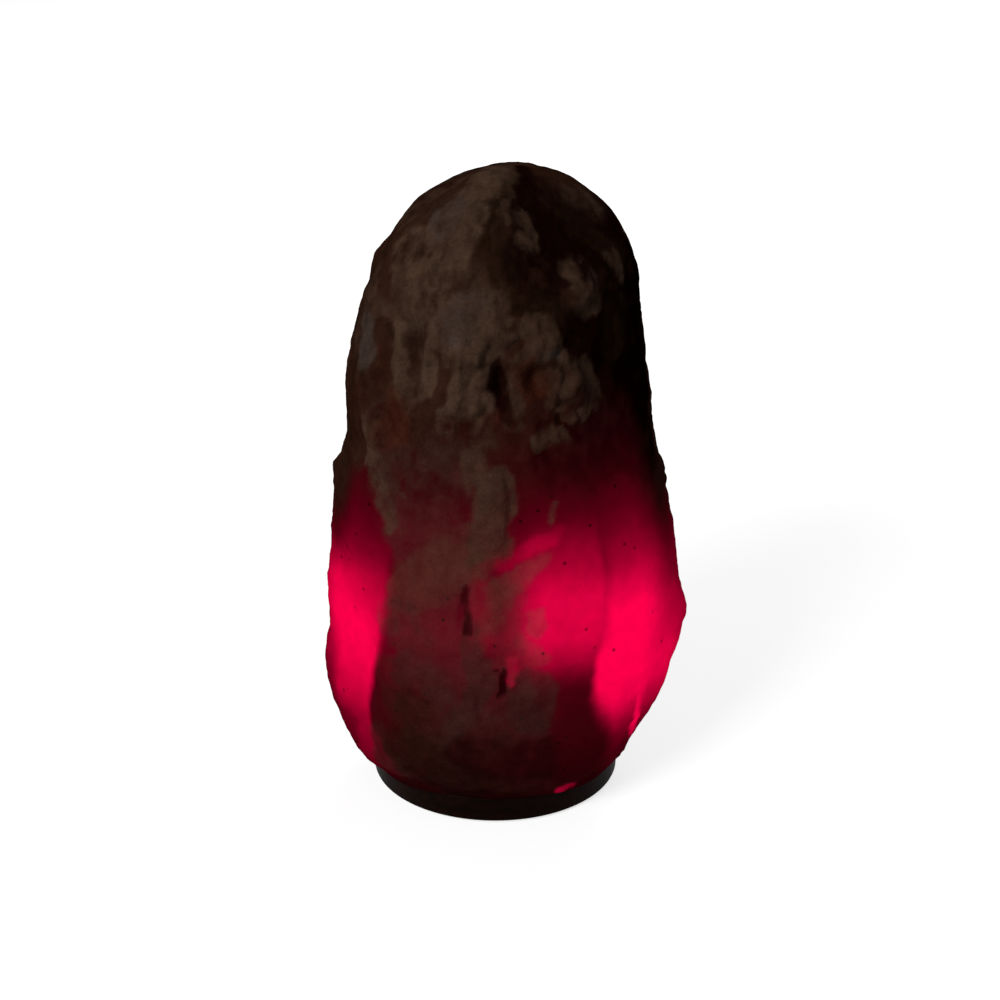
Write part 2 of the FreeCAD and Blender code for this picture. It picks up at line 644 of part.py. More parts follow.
NODES = {
    "salt_crystal": salt_crystal,
    "wooden_base": wooden_base,
    "felt_ring": felt_ring,
    "base_screws": lambda: Part.makeCompound(around(base_screw(), SCREW_ANGLES)),
    "screw_plugs": lambda: Part.makeCompound(around(screw_plug(), SCREW_ANGLES)),
    "holder_cap": holder_cap,
    "cord_gland": cord_gland,
    "gland_screw": gland_screw,
    "holder_shell": holder_shell,
    "contact_carrier": contact_carrier,
    "thread_sleeve": thread_sleeve,
    "centre_contact": centre_contact,
    "terminal_screws": terminal_screws,
    "spring_clip": spring_clip,
    "clip_ring_nut": clip_ring_nut,
    "foot_contact": foot_contact,
    "cap_insulator": cap_insulator,
    "bulb_cap": bulb_cap,
    "bulb_collar": bulb_collar,
    "bulb_dome": bulb_dome,
    "led_board": led_board,
    "led_chips": led_chips,
    "driver_board": driver_board,
}

os.makedirs("parts", exist_ok=True)
for name, make in NODES.items():
    make().exportStep("parts/" + name + ".step")
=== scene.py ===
import math

import bpy
import numpy as np
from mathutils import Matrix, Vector


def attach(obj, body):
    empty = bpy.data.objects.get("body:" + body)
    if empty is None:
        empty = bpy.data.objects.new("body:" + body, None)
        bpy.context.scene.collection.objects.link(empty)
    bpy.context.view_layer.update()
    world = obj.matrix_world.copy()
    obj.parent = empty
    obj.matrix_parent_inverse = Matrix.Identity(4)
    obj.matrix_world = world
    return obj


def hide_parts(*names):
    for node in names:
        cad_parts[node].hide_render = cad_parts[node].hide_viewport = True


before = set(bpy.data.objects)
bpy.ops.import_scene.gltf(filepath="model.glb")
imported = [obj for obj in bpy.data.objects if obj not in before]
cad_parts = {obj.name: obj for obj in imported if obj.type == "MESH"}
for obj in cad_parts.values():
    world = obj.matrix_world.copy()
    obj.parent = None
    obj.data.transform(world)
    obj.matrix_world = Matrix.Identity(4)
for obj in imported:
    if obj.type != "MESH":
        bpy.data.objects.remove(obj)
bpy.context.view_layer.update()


# --- Wooden base --------------------------------------------------------------
# A disc of close-grained hardwood, turned on a lathe, bored for the lampholder
# and grooved underneath for the cord. Stained nearly black and waxed.

def linear(hex_colour):
    """sRGB hex to linear RGBA: below 0.04045 a twelfth of the value, above it
    the value raised to 2.4 after a small offset."""
    srgb = [int(hex_colour[i:i + 2], 16) / 255 for i in (1, 3, 5)]
    return tuple(c / 12.92 if c <= 0.04045 else ((c + 0.055) / 1.055) ** 2.4 for c in srgb) + (1.0,)


def add(finish, kind, inputs=(), **settings):
    """Adds a node to a finish, gives it its settings, and puts a plain value or
    another node's output into each input named."""
    made = finish.node_tree.nodes.new("ShaderNode" + kind)
    for key, value in settings.items():
        setattr(made, key, value)
    for key, value in dict(inputs).items():
        if isinstance(value, bpy.types.NodeSocket):
            finish.node_tree.links.new(value, made.inputs[key])
        else:
            made.inputs[key].default_value = value
    return made


def new_finish(name):
    """Empty material with its output node, and that node."""
    finish = bpy.data.materials.new(name)
    finish.use_nodes = True
    finish.node_tree.nodes.clear()
    return finish, add(finish, "OutputMaterial")


def dress(node, finish):
    """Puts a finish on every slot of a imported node."""
    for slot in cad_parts[node].material_slots:
        slot.material = finish


# Dark-stained turned hardwood: the stain lies deeper in the open grain, which
# runs along X, and the wax gives a low soft sheen.
STAIN, STAIN_IN_GRAIN = "#130502", "#070100"
GRAIN_WIDTH = 0.0011

stained_wood, out = new_finish("dark_stained_turned_hardwood")
place = add(stained_wood, "TexCoord").outputs["Object"]
stretched = add(stained_wood, "Mapping", {"Vector": place, "Scale": (0.06, 1, 0.5)}).outputs[0]
fibres = add(stained_wood, "TexNoise", {"Vector": stretched, "Scale": 1 / GRAIN_WIDTH, "Detail": 4.0})
rings = add(stained_wood, "TexNoise", {"Vector": stretched, "Scale": 1 / (9 * GRAIN_WIDTH), "Detail": 2.0})
figure = add(stained_wood, "Math", {0: fibres.outputs["Fac"], 1: rings.outputs["Fac"]}, operation="MULTIPLY")
streaks = add(stained_wood, "MapRange", {"Value": figure.outputs[0], "From Min": 0.16, "From Max": 0.34})
tone = add(stained_wood, "MixRGB", {"Fac": streaks.outputs[0], "Color1": linear(STAIN_IN_GRAIN),
                                    "Color2": linear(STAIN)})
pores = add(stained_wood, "Bump", {"Height": figure.outputs[0], "Distance": 0.0004, "Strength": 0.5})
wax = add(stained_wood, "BsdfPrincipled", {
    "Base Color": tone.outputs[0], "Roughness": 0.5, "Specular IOR Level": 0.02,
    "Normal": pores.outputs[0]})
stained_wood.node_tree.links.new(wax.outputs[0], out.inputs[0])
dress("wooden_base", stained_wood)


# --- Salt crystal -------------------------------------------------------------
# One block of rock salt, hewn by hand and then worn by damp air, so that its
# chisel flats are rounded and a pale crust stands on clearer, darker salt. A
# bore is core-drilled up from below for the bulb.

# Height, then how far the flank stands to the left, right, front and back (mm)
FLANKS = np.array([
    (11.5, 51.0, 50.0, 51.0, 48.0), (22.0, 60.5, 57.2, 56.5, 53.0), (40.0, 69.0, 66.6, 61.5, 58.0),
    (66.0, 67.6, 76.0, 64.5, 61.5), (92.0, 65.6, 72.8, 63.5, 60.5), (122.0, 64.2, 68.2, 59.0, 57.5),
    (148.0, 58.2, 62.4, 56.0, 54.5), (176.0, 57.2, 58.6, 52.5, 51.5), (202.0, 51.4, 55.4, 47.5, 47.5),
    (226.0, 40.4, 51.4, 40.0, 41.0), (242.0, 27.0, 39.0, 27.5, 28.5), (253.2, 3.5, 20.0, 9.0, 9.5),
])
FULLNESS = 2.3
BOTTOM, SHOULDER, CROWN = 11.5, 196.0, 253.0
BORE_R, BORE_TOP, DRILL_POINT = 22.5, 102.0, 12.0
COLUMNS, FLANK_ROWS, CROWN_ROWS = 400, 152, 66
LONGEST_RAY, HALVINGS = 130.0, 18
EDGE_WEAR = 0.7
# The furthest that the block reaches, left, front and down, then right, back and up
LEAST, MOST = (-69.7, -64.7, 11.5), (76.4, 61.5, 253.1)

# Broad faces struck off: bearing and height of the middle, the way the face
# looks (bearing, tilt) and depth. Bearings run from +X through the back, so
# 180 is the left and 270 the front.
BROAD_FACES = (
    (212, 92, 211, -2, 4.2), (249, 62, 249, -6, 2.6), (286, 64, 286, -5, 2.4), (324, 80, 325, -3, 4.6),
    (236, 195, 234, 12, 3.4), (318, 188, 316, 10, 3.6), (301, 232, 304, 42, 3.6), (222, 232, 222, 38, 2.6),
    (128, 110, 128, 2, 4.6), (62, 92, 60, -2, 5.0),
)
# Rows of chisel flats: tilt, how many go round, depth
CHISEL_ROWS = ((-24, 10, 1.5), (-6, 12, 1.3), (8, 12, 1.3), (22, 12, 1.4), (38, 10, 1.4), (56, 8, 1.3),
               (74, 5, 0.9))


def ease(t):
    """0 below 0 and 1 above 1, with a smooth S between: three t squared less
    two t cubed."""
    t = np.clip(t, 0.0, 1.0)
    return t * t * (3 - 2 * t)


def reach_at(height):
    """Left, right, front and back reach at each height: cubic between the rows
    of FLANKS, with slopes taken across neighbouring rows."""
    rows, reach = FLANKS[:, 0], FLANKS[:, 1:]
    slope = np.gradient(reach, rows, axis=0)
    i = np.clip(np.searchsorted(rows, height) - 1, 0, len(rows) - 2)
    span = rows[i + 1] - rows[i]
    t = np.clip((height - rows[i]) / span, 0, 1)[..., None]
    return ((2 * t**3 - 3 * t**2 + 1) * reach[i] + (t**3 - 2 * t**2 + t) * span[..., None] * slope[i]
            + (3 * t**2 - 2 * t**3) * reach[i + 1] + (t**3 - t**2) * span[..., None] * slope[i + 1])


def facing(bearing, tilt):
    """Unit direction with a bearing and a tilt above level, in degrees."""
    b, t = np.radians(bearing), np.radians(tilt)
    return np.stack([np.cos(t) * np.cos(b), np.cos(t) * np.sin(b), np.sin(t)], -1)


def rough_radius(bearing, height):
    """Outline before dressing: four unequal quarter ovals, where the powers of
    the two shares of the reach add up to one."""
    left, right, front, back = np.moveaxis(reach_at(height), -1, 0)
    c, s = np.cos(bearing), np.sin(bearing)
    across = np.abs(c) / np.where(c > 0, right, left)
    along = np.abs(s) / np.where(s > 0, back, front)
    return (across**FULLNESS + along**FULLNESS) ** (-1 / FULLNESS)


def flats():
    """Points on, and outward directions of, the broad faces and chisel flats."""
    for bearing, height, face_bearing, tilt, depth in BROAD_FACES:
        out, b = facing(face_bearing, tilt), math.radians(bearing)
        radius = float(rough_radius(np.array(b), np.array(float(height))))
        yield np.array([radius * math.cos(b), radius * math.sin(b), height]) - out * depth, out
    b, z = np.meshgrid(np.radians(np.arange(0, 360, 6.0)), np.linspace(BOTTOM, CROWN, 41))
    r = rough_radius(b, z)
    flank = np.stack([r * np.cos(b), r * np.sin(b), z], -1).reshape(-1, 3)
    for row, (tilt, count, depth) in enumerate(CHISEL_ROWS):
        for i in range(count):
            uneven = math.sin(2.1 * i + 1.7 * row)
            out = facing(40 * row + 360 * i / count + 5 * uneven, tilt + 4 * math.cos(1.3 * i + row))
            proudest = flank[np.argmax(flank @ out)]
            yield proudest - out * (depth + 0.35 * uneven), out


FLATS = list(flats())


def outside(points):
    """How far points stand outside the hewn block, in mm, less than 0 inside:
    the excess over the oval outline and over every flat, with the edges worn
    round by taking the logarithm of the summed exponentials."""
    r = np.hypot(points[..., 0], points[..., 1])
    bearing = np.arctan2(points[..., 1], points[..., 0])
    excess = np.exp((r - rough_radius(bearing, points[..., 2])) / EDGE_WEAR)
    excess += np.exp((points[..., 2] - CROWN) / EDGE_WEAR)
    for point, out in FLATS:
        excess += np.exp(np.clip(((points - point) @ out) / EDGE_WEAR, -40, 40))
    return EDGE_WEAR * np.log(excess)


def noise(points, size, seed, octaves=1):
    """Smooth random field of about -1 to 1: random slopes stand at the corners
    of cubes of that size and their ramps are blended inside each cube. Each
    further octave is half as large and half as strong."""
    total = np.zeros(points.shape[:-1])
    for octave in range(octaves):
        slopes = np.random.default_rng(seed + octave).normal(size=(32, 32, 32, 3))
        place = points / size * 2**octave + 7.3 * octave
        cell = np.floor(place).astype(int)
        inside = place - cell
        share = inside**3 * (inside * (inside * 6 - 15) + 10)
        for corner in np.ndindex(2, 2, 2):
            at = (cell + corner) % 32
            ramp = ((inside - corner) * slopes[at[..., 0], at[..., 1], at[..., 2]]).sum(-1)
            total += ramp * np.prod(np.where(corner, share, 1 - share), -1) * 0.5**octave
    return total


def hewn_block():
    """Points of the outer surface. Rays leave the lamp's axis level up to the
    shoulder and then fan upwards to the crown, and each is halved down to where
    it crosses the block's surface."""
    bearing = np.linspace(0, 2 * math.pi, COLUMNS, endpoint=False)
    start = np.concatenate([np.linspace(BOTTOM, SHOULDER, FLANK_ROWS), np.full(CROWN_ROWS, SHOULDER)])
    rise = np.concatenate([np.zeros(FLANK_ROWS), np.linspace(0, math.pi / 2, CROWN_ROWS + 1)[1:]])
    b, s = np.meshgrid(bearing, start)
    _, e = np.meshgrid(bearing, rise)
    origin = np.stack([0 * s, 0 * s, s], -1)
    ray = np.stack([np.cos(e) * np.cos(b), np.cos(e) * np.sin(b), np.sin(e)], -1)
    low, high = np.zeros(b.shape), np.full(b.shape, LONGEST_RAY)
    for _ in range(HALVINGS):
        middle = (low + high) / 2
        within = outside(origin + ray * middle[..., None]) < 0
        low, high = np.where(within, middle, low), np.where(within, high, middle)
    return origin + ray * low[..., None]


def outward(points):
    """Unit normals of a grid closed round its columns: the cross product of the
    step to the next column and the step to the next row."""
    along = np.roll(points, -1, 1) - np.roll(points, 1, 1)
    up = np.gradient(points, axis=0)
    normal = np.cross(along, up)
    normal[-1] = (0, 0, 1)
    return normal / np.maximum(np.linalg.norm(normal, axis=-1, keepdims=True), 1e-9)


block = hewn_block()
normals = outward(block)
height = block[..., 2]
bearing = np.degrees(np.arctan2(block[..., 1], block[..., 0])) % 360
reach = np.hypot(block[..., 0], block[..., 1])


def turn(b, bearings=bearing):
    """Degrees from each point's bearing to a given bearing, -180 to 180."""
    return (bearings - b + 180) % 360 - 180


def brush(path, soft, bearings=bearing, heights=height):
    """Strength laid along a path of (bearing, height, half width, strength):
    full within the half width of the nearest stretch of the path, measured on
    the surface in mm, and easing to nothing over soft mm beyond it."""
    laid = np.zeros(bearings.shape)
    for (b0, z0, w0, s0), (b1, z1, w1, s1) in zip(path, path[1:] or path):
        across, up = np.radians(b1 - b0) * reach, z1 - z0
        u, v = np.radians(turn(b0, bearings)) * reach, heights - z0
        t = np.clip((u * across + v * up) / (across**2 + up**2 + 1e-6), 0, 1)
        gap = np.hypot(u - t * across, v - t * up) - (w0 + t * (w1 - w0))
        laid = np.maximum(laid, (s0 + t * (s1 - s0)) * ease(1 - gap / soft))
    return laid


def dome(b, z, half_width, half_height, depth, lean):
    """Low swelling centred on the surface: depth times the square of one less
    the squared distance, measured in an oval that leans by so many degrees."""
    u, v = np.radians(turn(b)) * reach, height - z
    a = math.radians(lean)
    q = ((u * math.cos(a) + v * math.sin(a)) / half_width)**2
    q += ((v * math.cos(a) - u * math.sin(a)) / half_height)**2
    return depth * np.clip(1 - q, 0, 1)**2


# Hollows and lumps: bearing, height, half width, half height, depth, lean
HOLLOWS = (
    (272, 185.5, 4.0, 9.0, 6.5, 12), (287, 187, 6.4, 7.6, 4.2, 0), (234, 192, 3.4, 16, 1.8, 5),
    (247, 196, 3.2, 15, 1.8, 4), (219, 192, 3.4, 17, 1.8, 6), (260, 98, 4.0, 14, 3.2, -8),
    (265, 58, 3.2, 12, 2.0, 10), (273.5, 69, 2.3, 5.4, 5.0, 8), (291, 168, 5, 4.2, 2.2, 30),
    (325, 137, 2.4, 3, 2.0, 0), (208, 152, 12, 9, 2.4, 20), (80, 140, 15, 19, 4.2, 15),
    (115, 60, 10, 15, 3.6, -20), (300, 226, 17, 12, 2.6, 10), (285, 152, 13, 9, 1.8, 20),
    (244, 136, 12, 9, 1.6, -30), (30, 168, 17, 15, 2.6, 0), (150, 168, 15, 17, 2.4, 10),
    (92, 214, 15, 11, 2.2, 0), (342, 160, 11, 10, 2.0, 0), (346, 100, 9, 7, 1.2, 0),
    (347, 190, 10, 8, 1.4, 0),
)
LUMPS = (
    (262, 194.6, 4.2, 5, 2.6, -8), (265, 185.3, 4.2, 5, 3.0, 10), (262.5, 176.4, 4.6, 5, 2.8, 0),
    (296, 201, 9, 6.4, 2.6, 20), (303, 181, 7.4, 9, 2.2, -30), (312.5, 216, 10, 9, 3.2, 0),
    (285, 93, 4.4, 6, 1.8, -30), (270, 138, 8, 16, 2.0, 5), (190, 136, 12, 10, 2.8, 0),
    (191, 88, 16, 17, 1.6, 0), (200, 42, 18, 11, 2.0, 0), (212, 20, 18, 9, 1.4, 0),
    (350, 137, 12, 9, 2.2, 0), (350, 78, 14, 11, 1.8, 0), (325, 19, 18, 9, 0.8, 0),
    (347, 215, 14, 16, 2.4, 0), (35, 249, 16, 12, 1.4, 0), (226, 187, 3, 13, 1.6, 3),
    (240, 190, 2.8, 12, 1.4, 2), (255, 190, 2.8, 12, 1.6, 2), (219, 158, 6, 13, 1.8, -14),
    (252, 108, 14, 8, 1.6, 35), (281, 110, 12, 5, 1.8, 35), (283, 63, 9, 8, 1.8, 0),
    (242, 66, 12, 10, 1.4, 0), (20, 120, 15, 13, 3.0, 0), (55, 200, 14, 12, 2.6, 0),
    (105, 180, 15, 13, 2.8, 10), (140, 140, 13, 15, 2.6, 0), (160, 60, 15, 13, 2.8, 0),
    (70, 60, 15, 11, 2.6, 15), (100, 100, 12, 13, 2.4, 0), (165, 215, 13, 11, 2.2, 0),
)
# Edges left standing: path, softness, height
RIDGES = (
    ([(246, 251, 2, 1), (262, 240, 2, 1), (269, 226, 2, .8), (272, 214, 1.5, .7)], 6, 1.4),
    ([(227, 200, .6, .7), (228, 188, 1, 1), (228, 177, 1, 1), (226, 168, .6, .6)], 2.6, .9),
    ([(256, 204, .6, .7), (257, 195, 1, 1), (256, 184, 1, 1), (252, 174, 1, .8)], 2.4, 1.0),
    ([(240, 200, .5, .6), (240, 188, .8, 1), (240, 180, .8, .8)], 2.4, .7),
    ([(268, 152, 4, 1), (269, 140, 5, 1), (268, 128, 5, 1)], 1.6, 1.1),
    ([(231, 126, .5, .6), (231, 100, .5, .8), (227, 70, .5, .8), (219, 36, .5, .6)], 5, 1.0),
    ([(272, 118, .6, .9), (282, 122, .8, 1), (292, 127, .6, .8)], 2.4, .8),
    ([(307, 217, .5, .8), (309, 222, .5, 1), (316, 223, .5, 1)], 2.5, .7),
)
# Crumbling crust: path and softness
CRUMBLING = (
    ([(262, 199, 2.5, 1), (264, 188, 3.5, 1), (262, 177, 5, 1), (258, 168, 4, .8)], 4),
    ([(276, 203, 3, .8), (290, 203, 5, 1), (294, 195, 4, .8)], 4),
    ([(298, 184, 5, .9), (301, 175, 5, 1), (291, 164, 4, .8)], 4),
    ([(252, 176, 4, .6), (251, 168, 4, .6)], 4),
    ([(309, 219, 3, .5), (318, 214, 4, .5)], 4),
    ([(262, 112, 2, .6), (259, 96, 3, .6), (266, 78, 3, .6), (273, 68, 3, .6)], 4),
)

# Broad strokes wander a few mm from their paths, as the veins in the salt do
stray = 2.4 * noise(block, 17, 101, 2) + 1.1 * noise(block, 5, 103, 2)
rising = 2.4 * noise(block, 17, 107, 2) + 1.3 * noise(block, 5, 109, 2)
veined = (bearing + np.degrees(stray / np.maximum(reach, 12)), height + rising)
mottle = 0.8 * noise(block, 15, 113, 2) + 0.35 * noise(block, 4, 117, 2)
grain = noise(block, 2.2, 127, 1)
feather = noise(block * (1, 1, 0.6), 5.5, 141, 3)
# Strokes are broken up most where the crust is, high on the block
breakage = 0.4 + 0.6 * ease((height - 115) / 45)
# The flank behind the lamp, which repeats the same kinds of salt at random
behind = ease((np.abs(turn(90)) - 92) / -34)

# Kinds of salt; the strokes below also lay some of them as painted shade, and the chalk as painted highlight
FLESH, LEAN_AND_SHADE, AMBER, OLIVE_AND_SHADE = "#28160f", "#24120b", "#32160d", "#180d06"
PALE, CHALK_AND_HIGHLIGHT, BLUISH, ROSE = "#34251c", "#3c2c22", "#362b26", "#2c1915"
SHADED, DEEPEST, GREY = "#0f0302", "#060100", "#2b1d18"

# Strokes laid in order: what, how strongly, how sharp an edge, how much of the
# lamp's light it hides, then its paths
STROKES = (
    # dark clear salt round the right, partly painted shade where it turns from the key light,
    # and painted shade in the scooped facet by the crown
    (SHADED, 1.0, 1.0, 0.2, (
        ([(284, 247, 5, 1), (303, 244, 10, 1), (322, 236, 10, 1)], 7),
        ([(281, 224, 4, .9), (293, 226, 9, 1), (306, 231, 12, 1), (322, 229, 8, 1)], 5),
        ([(303, 204, 5, .9), (312, 199, 9, 1), (318, 190, 9, 1), (312, 176, 7, .8)], 7),
        ([(344, 232, 8, .8), (342, 210, 12, 1), (338, 190, 16, 1), (334, 168, 14, 1), (336, 150, 9, .8)], 10),
        ([(300, 158, 12, .6), (318, 160, 12, .9)], 10))),
    (DEEPEST, 1.0, 1.0, 0.3, (
        ([(338, 208, 5, .9), (336, 190, 7, 1), (342, 172, 7, .9)], 10), ([(318, 192, 3, .7)], 6))),
    # the pale wash over the upper left
    (PALE, 0.8, 1.0, 0.5, (
        ([(250, 247, 7, 1), (243, 236, 13, 1), (238, 222, 18, 1), (240, 207, 20, 1), (240, 195, 18, .9),
          (243, 182, 14, .6)], 10),
        ([(206, 240, 9, .6), (203, 216, 11, .6), (207, 203, 9, .8), (205, 190, 9, .7)], 9),
        ([(262, 226, 5, .7), (262, 214, 8, .9), (266, 204, 8, .9), (262, 196, 6, .8)], 7),
        ([(216, 172, 6, .7), (218, 160, 7, .8), (222, 150, 6, .7), (228, 138, 4, .6)], 6),
        ([(238, 158, 10, .4), (250, 168, 10, .6), (258, 166, 8, .7)], 8),
        ([(207, 162, 3, .6), (208, 150, 3, .7)], 5), ([(346, 243, 4, .5)], 6))),
    (ROSE, 0.8, 1.0, 0.25, (
        ([(238, 130, 10, .8), (248, 120, 12, .8), (250, 100, 14, 1), (248, 80, 14, 1), (250, 60, 14, 1),
          (252, 40, 14, .9), (256, 24, 12, .7)], 8),
        ([(270, 100, 8, .7), (270, 80, 8, .8), (272, 60, 9, .9), (276, 44, 12, .8), (280, 28, 12, .7)], 8),
        ([(240, 150, 12, .6), (256, 146, 12, .6)], 10), ([(222, 34, 5, .5), (228, 22, 7, .7)], 6))),
    # brownish salt between the pale streaks, laid partly as painted shade in the flute grooves between the
    # ribs and in the hollow high on the left flank
    (LEAN_AND_SHADE, 0.75, 0.8, 0.2, (
        ([(199, 226, 3, .7), (209, 232, 2, .6), (219, 248, 3, .8), (213, 240, 3, .7)], 5),
        ([(216, 198, 3, 1), (217, 188, 3, 1), (216, 176, 3, .8)], 3),
        ([(247, 198, 2.4, .7), (247, 186, 3, .9), (243, 174, 4, .9), (238, 166, 4, .7)], 3.5),
        ([(233, 199, 1.6, .6), (233, 187, 2, .6)], 2.5),
        ([(232, 216, 4, .4), (216, 216, 5, .5), (207, 217, 5, .6)], 5),
        ([(250, 219, 3, .6), (247, 214, 3, .6)], 4),
        ([(203, 176, 8, .8), (204, 163, 8, .9), (206, 152, 6, .8)], 6),
        ([(256, 244, 2.5, .7), (262, 233, 3, .8), (266, 224, 3, .7)], 4),
        ([(280, 197, 3, .8), (279, 207, 2, .9), (279, 212, 2, .6)], 3),
        ([(296, 203, 1.5, .7), (294, 192, 2, .7)], 3))),
    # olive-brown salt, laid partly as painted shade down the side of the crown's ridge that faces away from
    # the light, and in the dark region on the right
    (OLIVE_AND_SHADE, 0.9, 1.0, 0.6, (
        ([(268, 243, 4, .8), (272, 234, 5, .8), (274, 224, 4, .7), (279, 216, 4, .7), (290, 214, 4, .9),
          (300, 211, 3, .8)], 6),
        ([(336, 224, 2.5, .8), (332, 234, 3, .8), (326, 243, 3, .6)], 4),
        ([(331, 205, 4, .8), (327, 194, 4, .8)], 6))),
    # patches of broken crust
    (PALE, 0.85, 0.8, 0.4, (
        ([(286, 205, 3, 1), (290, 205, 5, 1), (291, 198, 5, .9), (286, 195, 3, .9), (280, 192, 2, .6)], 3),
        ([(283, 241, 2.5, .5), (289, 237, 4, .58), (293, 233, 3, .5)], 4),
        ([(305, 216, 3, .36), (312, 220, 5, .44), (320, 217, 4, .4), (314, 212, 5, .4)], 4),
        ([(294, 186, 3, .9), (298, 180, 5, .8), (303, 174, 4, .7), (297, 176, 4, .8)], 4),
        ([(297, 192, 3, .5), (306, 186, 5, .5), (312, 176, 4, .4)], 4),
        ([(286, 163, 2.5, .8), (293, 165, 3, .9), (298, 163, 2, .7)], 2.5),
        ([(276, 184, 1.5, .7), (280, 190, 2, .8), (278, 178, 2, .7), (277, 172, 2, .6)], 3),
        ([(269, 212, 4, .8), (273, 205, 4, .9), (270, 198, 4, .8)], 4),
        ([(334, 226, 1.5, .5), (336, 216, 1.5, .5)], 3))),
    # streaks and ribs of chalk; on the ribs and on the lit side of the crown's ridge they are
    # partly painted highlight
    (CHALK_AND_HIGHLIGHT, 0.9, 0.9, 0.35, (
        ([(249, 250, 4, .8), (246, 240, 6, .8), (243, 228, 6, .7), (234, 230, 5, .6)], 7),
        ([(214, 227, 5, .5), (219, 222, 5, .6)], 6),
        ([(234, 213, 5, .7), (240, 206, 8, .6), (250, 205, 8, .9), (258, 204, 6, .9), (262, 210, 5, .6)], 6),
        ([(224, 199, 2.5, .9), (226, 189, 2.5, 1), (228, 178, 2, .8)], 3),
        ([(240, 190, 2.2, 1), (240, 181, 2, .9)], 2.5), ([(247, 203, 2, .8), (248, 192, 1.2, .6)], 2.5),
        ([(257, 199, 1.8, 1), (257, 186, 2, 1), (253, 177, 3, .9), (250, 169, 3, .7)], 2.5),
        ([(262.5, 195, 2, 1), (265, 186, 3, 1), (263, 177, 4.5, 1), (259, 171, 4, .8)], 2),
        ([(215, 163, 3, .6), (219, 155, 3, .8), (218, 147, 3, .6), (225, 136, 2, .6), (230, 130, 2, .7)], 4),
        ([(269, 147, 4, 1), (270, 138, 5.5, 1), (268, 130, 5, .9), (264, 121, 4, .7)], 4))),
    (BLUISH, 0.9, 1.0, 0.5, (
        ([(204, 196, 4, 1), (206, 188, 4, .9)], 5), ([(252, 205, 5, .5), (257, 211, 4, .42)], 6),
        ([(232, 240, 4, .5)], 5), ([(293, 194, 2, .7)], 3))),
    (AMBER, 0.68, 1.0, 0.1, (
        ([(226, 173, 4, .6), (227, 166, 5, 1), (224, 161, 4, .8)], 6),
        ([(217, 192, 1.5, .5), (218, 186, 1.5, .5)], 3), ([(264, 169, 3, .5), (272, 173, 2, .5)], 4),
        ([(295, 170, 3, .5)], 4), ([(284, 190, 3, .9), (287, 184, 4.5, 1)], 4))),
    # the beige vein and what it runs down into
    (PALE, 0.85, 1.0, 0.18, (
        ([(262, 156, 3, .6), (266, 149, 5, .8), (269, 141, 6, .9), (269, 133, 5, .9), (264, 124, 8, .7),
          (256, 116, 9, .8), (248, 110, 9, .8), (240, 105, 8, .7), (237, 99, 4, .6)], 5),
        ([(263, 119, 4, .6), (258, 108, 5, .6)], 4),
        ([(289, 117, 1, .8), (282, 113.5, 2.2, .95), (276, 109, 3.2, .95), (271, 103, 3.4, .85),
          (269, 95, 3, .65), (268, 87, 2.5, .5)], 4),
        ([(284, 95, 2.5, .9), (286, 92, 2.5, .9)], 2.5), ([(279, 86, 3, .5), (283, 80, 4, .6)], 4),
        ([(235.5, 141, 1, 1)], 1.5), ([(295, 140, .8, .6), (291, 134, .8, .6)], 2))),
    (GREY, 0.85, 1.0, 0.3, (
        ([(236, 92, 6, .5), (240, 84, 5, .4)], 8), ([(250, 52, 10, .5), (262, 46, 9, .4)], 10),
        ([(246, 40, 8, .5), (240, 30, 8, .6), (254, 22, 8, .6)], 9),
        ([(262, 92, 2, .7), (263, 82, 3, .9), (265, 70, 4, 1), (262, 58, 4, 1), (256, 48, 3.5, .9),
          (248, 38, 4, .8)], 4),
        ([(278, 70, 4, .7), (284, 63, 7, 1), (282, 54, 6, .8)], 5),
        ([(240, 72, 7, .5), (246, 64, 8, .6), (240, 54, 7, .4)], 6))),
    (OLIVE_AND_SHADE, 0.75, 1.0, 0.3, (
        ([(236, 36, 7, .8), (246, 28, 9, 1), (258, 22, 9, .9), (272, 17, 6, .7)], 8),
        ([(232, 56, 4, .6), (236, 50, 5, .6)], 5), ([(262, 40, 5, .5), (286, 30, 9, .5)], 8))),
    (SHADED, 0.8, 1.0, 0.08, (
        ([(262, 36, 6, .6), (270, 30, 6, .6), (300, 32, 9, 1), (304, 45, 6, .9), (301, 60, 4, .7)], 8),
        ([(222, 14, 3, .9), (250, 12, 2, .9), (280, 12, 2, .9), (310, 13, 3, .9), (330, 16, 3, .6)], 4))),
    # the darker hollow low on the left
    (LEAN_AND_SHADE, 0.7, 1.0, 0.1, (([(230, 68, 5, .7), (238, 54, 9, 1), (244, 42, 7, .8)], 6),)),
    # painted shade in the crevice, pit and hole
    (SHADED, 0.9, 0.9, 0.45, (
        ([(260.5, 106, .8, .6), (259, 101, 1.2, .8)], 2), ([(259.5, 97, 1, .5), (261, 91, 1.6, .8)], 2),
        ([(270.5, 192, 1.5, .8), (271.5, 185, 2.8, 1), (273, 179, 2.4, 1), (275, 174, 2, .8)], 2),
        ([(273, 74, 1.2, .8), (273.5, 66, 1.8, 1)], 1.4),
        ([(270, 75, .8, .9)], 1), ([(296, 172, .8, .8), (297, 167, .8, .8)], 1.5))),
)


